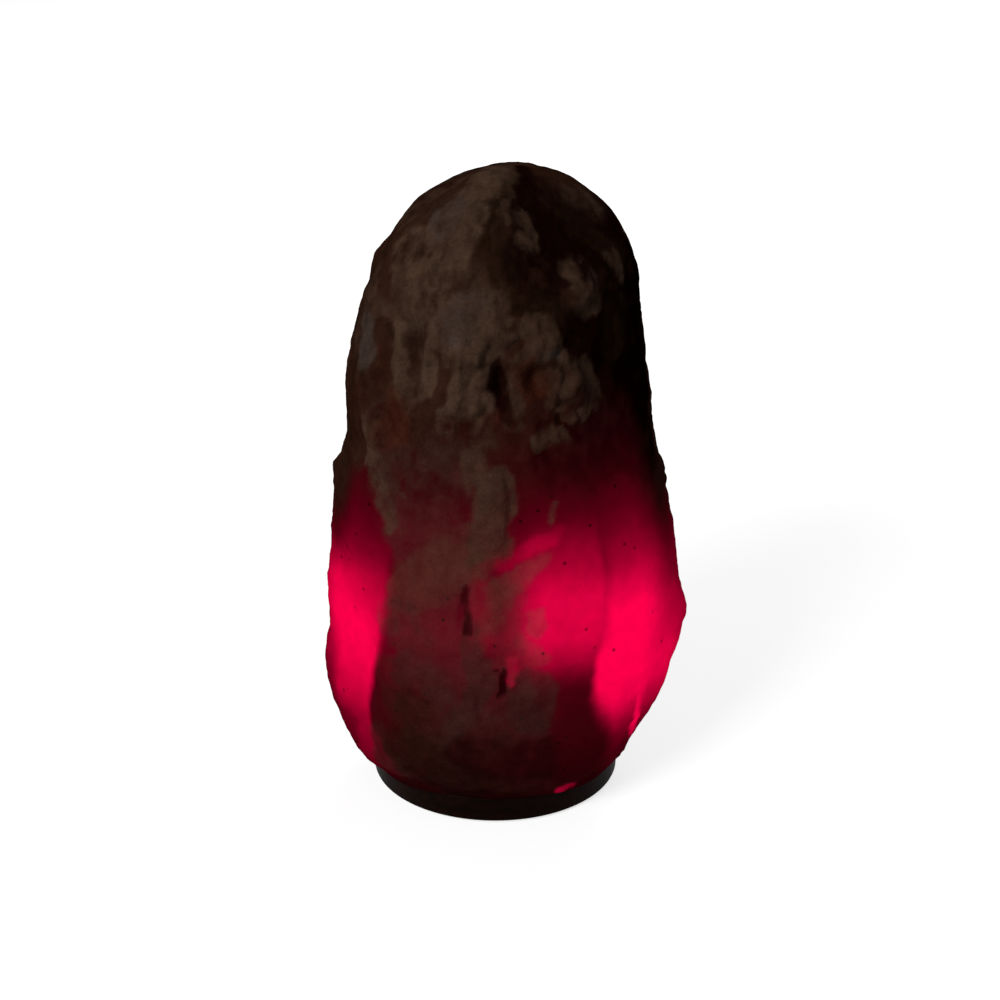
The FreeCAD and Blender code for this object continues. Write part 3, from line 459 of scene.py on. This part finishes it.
def salt_and_shading_colours(light):
    """Colour of the salt at each point, painted shade and highlight included, and
    the share of the lamp's light that it lets by: a thin wash of flesh that is
    dark where the salt is clear and lit, then each stroke over what is there, its
    edge broken by the mottling."""
    clear = ease(light / 0.34)[..., None]
    colour = np.array(linear(FLESH)[:3]) * (1 - clear) + np.array(linear(DEEPEST)[:3]) * clear
    let_by = np.ones(bearing.shape)
    for kind, opacity, edge, hides, paths in STROKES:
        laid = np.zeros(bearing.shape)
        for path, soft in paths:
            laid = np.maximum(laid, brush(path, soft, *veined))
        seed = int(100 * opacity) + int(40 * edge) + len(paths)
        anywhere = ease(0.4 + 1.6 * noise(block, 26, seed, 2))
        laid = laid * (1 - behind) + behind * anywhere * (0.5 if kind in (SHADED, DEEPEST) else 0.85)
        laid += breakage * (0.5 * mottle + 0.42 * feather + 0.2 * grain) * ease(2.2 * laid)
        laid = opacity * ease((laid - 0.5) / edge + 0.5)
        colour += (np.array(linear(kind)[:3]) - colour) * laid[..., None]
        let_by *= 1 - hides * laid
    return colour * (1 + breakage * (0.2 * mottle + 0.16 * feather + 0.1 * grain))[..., None], let_by


def between(values, *marks):
    """Straight line through (where, how much) marks."""
    return np.interp(values, *zip(*marks))


def lamp_light():
    """Strength of the lamp's light, 0 to 1, in four parts: all through the
    block, fading with height above the bulb; in the clear left flank, up to the
    arris where the front begins; in the right lobe; and across the front of the
    right lobe above the seam, which cuts the light short below it."""
    b, z = bearing + np.degrees(0.3 * stray / np.maximum(reach, 12)), height + 0.5 * rising
    body = between(z, (12, .13), (30, .19), (50, .23), (66, .28), (88, .42), (104, .36), (122, .32),
                   (138, .25), (152, .17), (166, .12), (182, .07), (205, 0))
    sides = np.maximum(ease(-turn(214, b) / 18), ease(turn(325, b) / 20))
    body = body * (1 - 0.85 * ease((z - 100) / 40) * sides)
    arris = between(z, (20, 220), (45, 218), (62, 222.5), (76, 229), (88, 232), (130, 234))
    left = between(z, (12, .18), (25, .33), (35, .45), (45, .70), (56, .88), (68, .97), (80, .98),
                   (95, .88), (105, .72), (114, .50), (124, .33), (136, .23), (150, .14), (165, .06),
                   (190, 0))
    left = left * ease(0.5 - turn(arris, b) / 9.5) * (1 - 0.14 * ease(turn(214, b) / 18))
    left = left * (1 - 0.95 * ease((z - 92) / 44) * ease(-turn(216, b) / 22))
    left = left * (1 - 0.4 * ease(-turn(199, b) / 16))
    lobe = between(z, (14, .16), (25, .26), (35, .40), (44, .60), (53, .88), (62, 1.0), (92, 1.0),
                   (104, .80), (114, .58), (124, .42), (134, .29), (146, .20), (158, .11), (174, .03),
                   (190, 0))
    seam = between(z, (20, 315), (35, 312), (46, 307.5), (58, 304), (80, 303), (120, 299), (150, 290))
    lobe = lobe * ease(0.5 + turn(seam, b) / between(z, (40, 16), (60, 6), (74, 5), (90, 22), (130, 40)))
    above = between(z, (56, 0), (66, .30), (76, .62), (88, .84), (102, .86), (114, .66), (124, .48),
                    (134, .30), (146, .18), (160, .08), (176, 0))
    above = above * ease(turn(263, b) / 26) ** 0.6 * ease(-turn(318, b) / 12)
    far = between(z, (40, 0), (60, .15), (85, .4), (105, .68), (125, .88), (150, .95))
    far = ease(turn(324, b) / 24) * far
    right = np.maximum(lobe, above) * (1 - far) * (1 - 0.4 * ease(turn(343, b) / 14))
    unseen = 0.35 + 0.65 * ease(0.5 + 1.2 * noise(block, 30, 131, 3))
    everywhere = left * unseen
    seen = (body**5 + left**5 + right**5) ** 0.2
    light = seen * (1 - behind) + everywhere * behind
    for path, soft in STREAKS:
        light = light + brush(path, soft, *veined) * (1 - light)
    return np.clip(light * (1 + 0.05 * mottle), 0, 1)


# Brighter and thinner places in the salt: path and softness, its strength the
# share of the missing light that they add
STREAKS = (
    ([(272, 117, .6, .16), (282, 121.5, 1, .3), (290, 125, 1.6, .25), (296, 129, 1, .1)], 3.5),
    ([(265, 107, 1.5, .16), (264.5, 99, 2, .2), (266, 90, 2, .14)], 5),
    ([(275, 80, 1.5, .3), (276.5, 71, .8, .5)], 2),
    ([(327, 49, 1, .7), (329, 38, 1.5, .8), (331, 27, 1, .6)], 2),
    ([(298, 14.5, 1.2, .55), (304, 15.5, 1.2, .4)], 1.6),
    ([(214, 30, 6, .2), (222, 22, 6, .12)], 6),
)

lamp = lamp_light()
salt, let_by = salt_and_shading_colours(lamp)
light = lamp * let_by
crumbs = np.zeros(bearing.shape)
for path, soft in CRUMBLING:
    crumbs = np.maximum(crumbs, brush(path, soft))
fluted = noise(block * (1, 1, 0.3), 5, 137, 2) * ease((height - 150) / 20) * ease((222 - height) / 20)
worn = (0.7 * noise(block, 26, 51, 2) - 0.8 * np.abs(noise(block, 12, 55)) + 0.35 * noise(block, 6, 61, 2)
        + 0.12 * grain + 0.45 * fluted + crumbs * (0.5 + 1.3 * noise(block, 4.2, 71, 2)))
for path, soft, rise in RIDGES:
    worn += rise * brush(path, soft)
for lump in LUMPS:
    worn += dome(*lump) * (1 + 0.3 * noise(block, 4, 81))
for hollow in HOLLOWS:
    worn -= dome(*hollow) * (1 + 0.3 * noise(block, 5, 91))
flat_foot = ease((height - BOTTOM) / 5)
crown = ease((height - SHOULDER) / 40)
surface = block + normals * (worn * flat_foot * (1 - 0.4 * crown) - 0.1)[..., None]
# Nothing stands past the block that it is hewn from
surface = np.clip(surface, LEAST, MOST)


def mesh_piece(name, grid, finish, fields=None, ring=False):
    """Mesh of a grid of points in mm, rows by columns: each cell is a quad and
    the last column joins the first. The end rows close on their middle points,
    or in a ring the last row joins the first."""
    rows, columns = grid.shape[:2]
    index = np.arange(rows * columns).reshape(rows, columns)
    points = grid.reshape(-1, 3)
    if ring:
        index = np.concatenate([index, index[:1]])
    beside = np.roll(index, -1, 1)
    faces = np.stack([index[:-1], beside[:-1], beside[1:], index[1:]], -1).reshape(-1, 4).tolist()
    if not ring:
        first, last = rows * columns, rows * columns + 1
        points = np.concatenate([points, grid[:1].mean(1), grid[-1:].mean(1)])
        faces += np.stack([np.full(columns, first), beside[0], index[0]], -1).tolist()
        faces += np.stack([np.full(columns, last), index[-1], beside[-1]], -1).tolist()
    mesh = bpy.data.meshes.new(name)
    mesh.from_pydata((points / 1000).tolist(), [], faces)
    for field, values in (fields or {}).items():
        values = np.concatenate([values.reshape(rows * columns, -1), values[:1].mean(1).reshape(1, -1),
                                 values[-1:].mean(1).reshape(1, -1)])
        if values.shape[1] == 3:
            layer = mesh.attributes.new(field, "FLOAT_COLOR", "POINT")
            layer.data.foreach_set("color", np.c_[values, np.ones(len(values))].ravel().astype(np.float32))
        else:
            layer = mesh.attributes.new(field, "FLOAT", "POINT")
            layer.data.foreach_set("value", values.ravel().astype(np.float32))
    mesh.shade_smooth()
    mesh.materials.append(finish)
    piece = bpy.data.objects.new(name, mesh)
    bpy.context.scene.collection.objects.link(piece)
    return piece


def circle_row(radius, z, columns):
    """One level ring of points."""
    a = np.linspace(0, 2 * math.pi, columns, endpoint=False)
    return np.stack([radius * np.cos(a), radius * np.sin(a), np.full(columns, float(z))], -1)


# Rock salt: each point has its own colour, painted shade and highlight included,
# and its own share of the lamp's light. Crystals of about a millimetre break
# both up, and grains of clay stand in the clear salt as dark specks.
LAMPLIGHT = "#ff004b"
CRYSTAL, CLAY_SPACING, CLAY_GRAIN = 0.0012, 0.0085, 0.0006

rock_salt, out = new_finish("hewn_rock_salt")
place = add(rock_salt, "TexCoord").outputs["Object"]
crystals = add(rock_salt, "TexNoise", {"Vector": place, "Scale": 1 / CRYSTAL, "Detail": 4.0,
                                       "Roughness": 0.6})
clouds = add(rock_salt, "TexNoise", {"Vector": place, "Scale": 1 / (4 * CRYSTAL), "Detail": 4.0,
                                     "Roughness": 0.55})
clay = add(rock_salt, "TexVoronoi", {"Vector": place, "Scale": 1 / CLAY_SPACING, "Randomness": 1.0})
salt_and_shading_tint = add(rock_salt, "Attribute", attribute_name="salt").outputs["Color"]
lit = add(rock_salt, "Attribute", attribute_name="light").outputs["Fac"]
crushed = add(rock_salt, "Math", {0: crystals.outputs["Fac"], 1: 0.6, 2: clouds.outputs["Fac"]},
              operation="MULTIPLY_ADD")
brightness = add(rock_salt, "MapRange", {"Value": crushed.outputs[0], "From Min": 0.5, "From Max": 1.1,
                                         "To Min": 0.72, "To Max": 1.3})
tone = add(rock_salt, "MixRGB", {"Fac": 1.0, "Color1": salt_and_shading_tint, "Color2": brightness.outputs[0]},
           blend_type="MULTIPLY")
grain_shadow = add(rock_salt, "MapRange", {
    "Value": clay.outputs["Distance"], "From Min": 0.6 * CLAY_GRAIN / CLAY_SPACING,
    "From Max": 1.6 * CLAY_GRAIN / CLAY_SPACING, "To Min": 0.25, "To Max": 1.0})
unevenness = add(rock_salt, "MapRange", {"Value": clouds.outputs["Fac"], "From Min": 0.3, "From Max": 0.7,
                                         "To Min": 0.93, "To Max": 1.05})
seen_red = add(rock_salt, "Math", {0: lit, 1: 2.2}, operation="POWER")
through = add(rock_salt, "Math", {0: seen_red.outputs[0], 1: grain_shadow.outputs[0]}, operation="MULTIPLY")
through = add(rock_salt, "Math", {0: through.outputs[0], 1: unevenness.outputs[0]}, operation="MULTIPLY")
glow = add(rock_salt, "MixRGB", {"Fac": through.outputs[0], "Color1": (0, 0, 0, 1),
                                 "Color2": linear(LAMPLIGHT)})
facets = add(rock_salt, "Bump", {"Height": crushed.outputs[0], "Distance": 0.0006, "Strength": 0.8})
body = add(rock_salt, "BsdfPrincipled", {
    "Base Color": tone.outputs[0], "Roughness": 0.6, "IOR": 1.544, "Specular IOR Level": 0.0,
    "Emission Color": glow.outputs[0], "Emission Strength": 1.0, "Normal": facets.outputs[0]})
rock_salt.node_tree.links.new(body.outputs[0], out.inputs[0])

bore = [circle_row(BORE_R * s, z, COLUMNS) for s, z in
        ((0.02, BORE_TOP + 0.98 * DRILL_POINT), (0.5, BORE_TOP + 0.5 * DRILL_POINT), (1, BORE_TOP))]
bore += [circle_row(BORE_R, z, COLUMNS) for z in np.linspace(BORE_TOP, BOTTOM, 8)[1:]]
foot = surface[0] * (1, 1, 0) + (0, 0, BOTTOM)
under = [bore[-1] + (foot - bore[-1]) * t for t in (0.35, 0.7)]
hidden = len(bore) + len(under)
crystal_grid = np.concatenate([np.stack(bore + under), foot[None], surface[1:-1]])
drilled = np.ones((hidden, COLUMNS, 3)) * linear(ROSE)[:3]
fields = {"salt": np.concatenate([drilled, salt[:-1]]),
          "light": np.concatenate([np.full((hidden, COLUMNS), 0.9), light[:-1]])}
crystal = mesh_piece("salt_crystal_hewn", crystal_grid, rock_salt, fields)
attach(crystal, "lamp")
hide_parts("salt_crystal")


# --- Felt ring ----------------------------------------------------------------
# A millimetre of black wool felt, die-cut and glued under the rim of the base
# so that it doesn't scratch the table. It is open where the cord would leave.

FELT_IN, FELT_OUT, FELT_THICK, FELT_GAP = 35.6, 45.5, 1.0, 10.5

opening = math.asin(FELT_GAP / 2 / FELT_OUT)
around = np.linspace(math.pi / 2 + opening, 5 * math.pi / 2 - opening, 300)
section = np.linspace(0, 2 * math.pi, 36, endpoint=False)
squareness = 0.22
across = np.sign(np.cos(section)) * np.abs(np.cos(section)) ** squareness
upward = np.sign(np.sin(section)) * np.abs(np.sin(section)) ** squareness
radius = (FELT_IN + FELT_OUT) / 2 + (FELT_OUT - FELT_IN) / 2 * across
felt_grid = np.stack([radius * np.cos(around)[:, None], radius * np.sin(around)[:, None],
                      FELT_THICK / 2 * (1 + upward) + 0 * around[:, None]], -1)
fuzz = noise(felt_grid, 1.6, 201, 2)
felt_grid[..., :2] *= (1 + 0.0035 * fuzz * np.abs(across))[..., None]
felt_grid[..., 2] -= 0.06 * np.abs(fuzz) * upward

# Pressed wool: matted fibres of a few hundredths of a millimetre, a little
# paler where they catch the light at the edge.
felt_wool, out = new_finish("pressed_black_wool_felt")
place = add(felt_wool, "TexCoord").outputs["Object"]
fibres = add(felt_wool, "TexNoise", {"Vector": place, "Scale": 1 / 0.0003, "Detail": 6.0, "Roughness": 0.75,
                                     "Distortion": 1.5})
matting = add(felt_wool, "TexNoise", {"Vector": place, "Scale": 1 / 0.003, "Detail": 2.0})
lie = add(felt_wool, "Math", {0: fibres.outputs["Fac"], 1: matting.outputs["Fac"]}, operation="MULTIPLY")
tone = add(felt_wool, "MixRGB", {"Fac": lie.outputs[0], "Color1": linear("#0b0b0c"),
                                 "Color2": linear("#2b2a2a")})
pile = add(felt_wool, "Bump", {"Height": fibres.outputs["Fac"], "Distance": 0.0002, "Strength": 1.0})
wool = add(felt_wool, "BsdfPrincipled", {
    "Base Color": tone.outputs[0], "Roughness": 0.95, "Specular IOR Level": 0.1, "Sheen Weight": 0.4,
    "Sheen Roughness": 0.5, "Normal": pile.outputs[0]})
felt_wool.node_tree.links.new(wool.outputs[0], out.inputs[0])
felt = mesh_piece("felt_ring_pressed", felt_grid, felt_wool)
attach(felt, "lamp")
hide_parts("felt_ring")


# --- Screws and plugs ---------------------------------------------------------
# Three zinc-plated wood screws come up through the base and bite into nylon
# plugs that are pressed into the salt, which would crumble under a thread.

def grained(name, low, high, grain, rough, relief, stretch=(1, 1, 1), **shader):
    """A finish whose colour runs from low to high, and whose roughness between
    two values, with a fractal grain of that size in mm, drawn out along an axis
    where its stretch is below 1. Relief is the depth of the grain in mm, and
    what else is named goes to the shader as it is."""
    finish, out = new_finish(name)
    place = add(finish, "TexCoord").outputs["Object"]
    drawn = add(finish, "Mapping", {"Vector": place, "Scale": stretch}).outputs[0]
    fine = add(finish, "TexNoise", {"Vector": drawn, "Scale": 1000 / grain, "Detail": 5.0, "Roughness": 0.6})
    broad = add(finish, "TexNoise", {"Vector": drawn, "Scale": 1000 / (12 * grain), "Detail": 2.0})
    both = add(finish, "Math", {0: fine.outputs["Fac"], 1: 0.5, 2: broad.outputs["Fac"]},
               operation="MULTIPLY_ADD")
    share = add(finish, "MapRange", {"Value": both.outputs[0], "From Min": 0.5, "From Max": 1.0})
    tone = add(finish, "MixRGB", {"Fac": share.outputs[0], "Color1": linear(low), "Color2": linear(high)})
    polish = add(finish, "MapRange", {"Value": share.outputs[0], "To Min": rough[0], "To Max": rough[1]})
    bump = add(finish, "Bump", {"Height": fine.outputs["Fac"], "Distance": relief / 1000, "Strength": 1.0})
    body = add(finish, "BsdfPrincipled", {"Base Color": tone.outputs[0], "Roughness": polish.outputs[0],
                                          "Normal": bump.outputs[0], **shader})
    finish.node_tree.links.new(body.outputs[0], out.inputs[0])
    return finish


# Bright zinc: spangled plating over drawn steel.
zinc = grained("zinc_plated_steel", "#8f8d86", "#c9c7bf", 0.5, (0.28, 0.42), 0.01, Metallic=1.0)
dress("base_screws", zinc)
# Natural nylon: milky and slightly yellow, with the bloom of a moulded face.
nylon = grained("natural_moulded_nylon", "#c9c4b2", "#dedacb", 0.9, (0.42, 0.55), 0.02,
                **{"Subsurface Weight": 0.2, "Subsurface Radius": (0.002, 0.002, 0.0015)})
dress("screw_plugs", nylon)


# --- Lampholder ---------------------------------------------------------------
# A small E14 lampholder: a fluted cap screws on to a shell that holds the
# ceramic carrier, the brass sleeve and the sprung centre contact. A spring
# clip sits on the shell's shoulder under a ring nut and hooks into the base.

# Black phenolic moulding: satin, with a spark-eroded texture.
moulding = grained("black_moulded_thermoplastic", "#0b0b0c", "#19191a", 0.25, (0.38, 0.5), 0.012,
                   **{"Specular IOR Level": 0.4})
for node in ("holder_cap", "holder_shell", "clip_ring_nut"):
    dress(node, moulding)
# Black nylon: softer and duller than the cap round it.
gland_nylon = grained("black_moulded_nylon", "#101010", "#232322", 0.35, (0.5, 0.66), 0.02)
dress("cord_gland", gland_nylon)
dress("gland_screw", zinc)
# Steatite: pressed and fired, unglazed, with fine pores.
steatite = grained("unglazed_steatite", "#c3bba9", "#ddd6c6", 0.4, (0.7, 0.85), 0.03,
                   **{"Specular IOR Level": 0.3})
dress("contact_carrier", steatite)
# Rolled brass: drawn marks run round the sleeve and along the tongue.
brass = grained("rolled_brass", "#8a6a2c", "#c7a35a", 0.3, (0.22, 0.38), 0.006, (1, 1, 0.12), Metallic=1.0)
for node in ("thread_sleeve", "centre_contact", "terminal_screws"):
    dress(node, brass)
# Spring steel strip: nickel plated after it was blanked, so it is brushed along
# its arms and greyer than the zinc.
spring_steel = grained("nickel_plated_spring_steel", "#77766f", "#aeada6", 0.3, (0.25, 0.4), 0.006,
                       (1, 1, 0.1), Metallic=1.0)
dress("spring_clip", spring_steel)


# --- LED bulb -----------------------------------------------------------------
# An E14 colour-changing LED bulb, set to its pink-red: a thin nickelled screw
# cap, black glass and a solder button at the foot, a white collar that holds
# the board with five LED packages, and a frosted dome over them.

THREAD_PITCH, THREAD_DEPTH = 2.82, 0.42
CAP_R, CAP_LOW, CAP_HIGH, CAP_SKIN = 6.75, 34.6, 52.5, 0.25
DOME_R, DOME_MIDDLE, DOME_NECK_R, DOME_FOOT, DOME_SKIN = 13.5, 74.0, 11.4, 62.0, 1.0

# Rolled thread: each row is a level ring whose radius falls from the crest by
# half the depth times one less the cosine of the way round the thread, eased
# out at both ends.
z = np.linspace(CAP_LOW + 1.2, CAP_HIGH, 120)[:, None]
a = np.linspace(0, 2 * math.pi, 120, endpoint=False)[None, :]
rolled = 0.5 - 0.5 * np.cos(2 * math.pi * z / THREAD_PITCH - a)
rolled = rolled * ease((z - CAP_LOW - 1.6) / 1.5) * ease((CAP_HIGH - 3.0 - z) / 1.5)
wall = CAP_R - THREAD_DEPTH * rolled


def level_rings(radius, z):
    """Rings of points at given radii, which may vary round them, and heights."""
    radius, heights = np.broadcast_arrays(radius + 0 * a, z + 0 * a)
    return np.stack([radius * np.cos(a), radius * np.sin(a), heights], -1)


drawn_in = level_rings(np.array([[CAP_R - 1.2], [CAP_R - 0.9]]), np.array([[CAP_LOW], [CAP_LOW + 0.15]]))
skirt = level_rings(wall - CAP_SKIN, z)[::-1]
lip = level_rings(np.array([[CAP_R - 1.2]]), np.array([[CAP_LOW + 0.8]]))
nickel = grained("nickel_plated_brass", "#8d8a80", "#bdbab0", 0.35, (0.16, 0.3), 0.004, (1, 1, 0.15),
                 Metallic=1.0)
cap_rings = np.concatenate([drawn_in, level_rings(wall, z), skirt, lip])
screw_cap = mesh_piece("bulb_cap_rolled", cap_rings, nickel, ring=True)
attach(screw_cap, "bulb")
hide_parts("bulb_cap")

# Tinned solder and black glass at the foot
dress("foot_contact", grained("tinned_solder", "#8e8e90", "#b9b9ba", 0.6, (0.3, 0.5), 0.03, Metallic=1.0))
dress("cap_insulator", grained("black_cap_glass", "#050506", "#101013", 1.2, (0.06, 0.14), 0.01))
# White moulded collar: glossy, a little uneven as thin mouldings are
dress("bulb_collar", grained("white_moulded_plastic", "#dcdcd8", "#ecebe7", 1.5, (0.22, 0.32), 0.01,
                             **{"Subsurface Weight": 0.1, "Subsurface Radius": (0.002, 0.002, 0.002)}))

# Frosted dome: a part sphere that draws in to its glued neck, lit from inside
turned = np.linspace(math.asin((DOME_FOOT + 2 - DOME_MIDDLE) / DOME_R), math.pi / 2 - 0.02, 60)[:, None]
outer = level_rings(DOME_R * np.cos(turned), DOME_MIDDLE + DOME_R * np.sin(turned))
inner_r = DOME_R - DOME_SKIN
inner = level_rings(inner_r * np.cos(turned), DOME_MIDDLE + inner_r * np.sin(turned))[::-1]
neck_out = level_rings(np.array([[DOME_NECK_R]]), np.array([[DOME_FOOT]]))
neck_in = level_rings(np.array([[DOME_NECK_R - DOME_SKIN]]), np.array([[DOME_FOOT]]))
frosted, out = new_finish("frosted_polycarbonate")
place = add(frosted, "TexCoord").outputs["Object"]
frost = add(frosted, "TexNoise", {"Vector": place, "Scale": 1 / 0.0004, "Detail": 4.0})
spread = add(frosted, "TexNoise", {"Vector": place, "Scale": 1 / 0.012, "Detail": 2.0})
shine = add(frosted, "MixRGB", {"Fac": spread.outputs["Fac"], "Color1": linear("#ff2a62"),
                                "Color2": linear("#ff7a9c")})
pearly = add(frosted, "MixRGB", {"Fac": frost.outputs["Fac"], "Color1": linear("#dcd6d6"),
                                 "Color2": linear("#f0ecec")})
satin = add(frosted, "Bump", {"Height": frost.outputs["Fac"], "Distance": 0.00003, "Strength": 1.0})
shell = add(frosted, "BsdfPrincipled", {
    "Base Color": pearly.outputs[0], "Roughness": 0.45, "Emission Color": shine.outputs[0],
    "Emission Strength": 0.9, "Normal": satin.outputs[0]})
frosted.node_tree.links.new(shell.outputs[0], out.inputs[0])
dome_rings = np.concatenate([neck_out, outer, inner, neck_in])
dome_shell = mesh_piece("bulb_dome_frosted", dome_rings, frosted, ring=True)
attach(dome_shell, "bulb")
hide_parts("bulb_dome")

# Boards: green solder mask with copper showing faintly through it
mask = grained("green_solder_mask", "#0c3a22", "#14512f", 0.8, (0.25, 0.4), 0.01, (1, 1, 1))
for node in ("led_board", "driver_board"):
    dress(node, mask)
# LED packages: white frames round yellowish phosphor
dress("led_chips", grained("led_package_resin", "#c9b262", "#e9e2c4", 1.3, (0.3, 0.45), 0.02))


# --- Camera, floor and light --------------------------------------------------
# The photograph is taken from 23 degrees above level with a long lens. The
# floor is plain and pale, and the light comes softly from the upper left.

DISTANCE, ELEVATION, AIM = 0.880, math.radians(23.0), (0.0019, 0.0, 0.118)
eye = bpy.data.cameras.new("camera")
eye.lens, eye.sensor_width = 80.0, 36.0
camera = bpy.data.objects.new("camera", eye)
camera.location = (AIM[0], AIM[1] - DISTANCE * math.cos(ELEVATION), AIM[2] + DISTANCE * math.sin(ELEVATION))
camera.rotation_euler = (math.pi / 2 - ELEVATION, 0, 0)
bpy.context.scene.collection.objects.link(camera)
bpy.context.scene.camera = camera

# Matt white paper sweep: shown a little brighter to the camera, so that it
# reads as white and keeps the object's shadow.
paper, out = new_finish("matt_white_paper")
matt = add(paper, "BsdfDiffuse", {"Color": linear("#b4b4b4")})
rays = add(paper, "LightPath")
shine = add(paper, "Emission", {"Color": (1, 1, 1, 1), "Strength": 0.72})
toward = add(paper, "Math", {0: rays.outputs["Is Camera Ray"], 1: rays.outputs["Is Glossy Ray"]},
             operation="MAXIMUM")
toward = add(paper, "Math", {0: toward.outputs[0], 1: rays.outputs["Is Transmission Ray"]},
             operation="MAXIMUM")
dark = add(paper, "Emission", {"Strength": 0.0})
seen = add(paper, "MixShader", {0: toward.outputs[0], 1: dark.outputs[0], 2: shine.outputs[0]})
both = add(paper, "AddShader", {0: matt.outputs[0], 1: seen.outputs[0]})
paper.node_tree.links.new(both.outputs[0], out.inputs[0])
sweep = bpy.data.meshes.new("floor")
sweep.from_pydata([(-4, -4, 0), (4, -4, 0), (4, 4, 0), (-4, 4, 0)], [], [(0, 1, 2, 3)])
sweep.materials.append(paper)
floor = bpy.data.objects.new("floor", sweep)
bpy.context.scene.collection.objects.link(floor)


def soft_light(name, place, aim, size, power):
    """Square area lamp at a place, turned to look at a point, in metres."""
    lamp = bpy.data.lights.new(name, "AREA")
    lamp.size, lamp.energy = size, power
    holder = bpy.data.objects.new(name, lamp)
    holder.location = place
    holder.rotation_euler = (Vector(aim) - Vector(place)).to_track_quat("-Z", "Y").to_euler()
    bpy.context.scene.collection.objects.link(holder)


soft_light("key_upper_left", (-1.0, -1.4, 1.25), (0, 0, 0.13), 0.8, 34.0)
soft_light("back_top", (0.55, 1.6, 1.15), (0, 0, 0.12), 1.2, 18.0)

world = bpy.data.worlds.new("studio")
world.use_nodes = True
sky = world.node_tree
sky.nodes.clear()
room = sky.nodes.new("ShaderNodeBackground")
room.inputs["Strength"].default_value = 0.2
white = sky.nodes.new("ShaderNodeBackground")
path = sky.nodes.new("ShaderNodeLightPath")
either = sky.nodes.new("ShaderNodeMath")
either.operation = "MAXIMUM"
blend = sky.nodes.new("ShaderNodeMixShader")
end = sky.nodes.new("ShaderNodeOutputWorld")
room.inputs["Color"].default_value = white.inputs["Color"].default_value = (1, 1, 1, 1)
sky.links.new(path.outputs["Is Camera Ray"], either.inputs[0])
sky.links.new(path.outputs["Is Transmission Ray"], either.inputs[1])
sky.links.new(either.outputs[0], blend.inputs[0])
sky.links.new(room.outputs[0], blend.inputs[1])
sky.links.new(white.outputs[0], blend.inputs[2])
sky.links.new(blend.outputs[0], end.inputs[0])
bpy.context.scene.world = world
bpy.context.scene.view_settings.view_transform = "Standard"
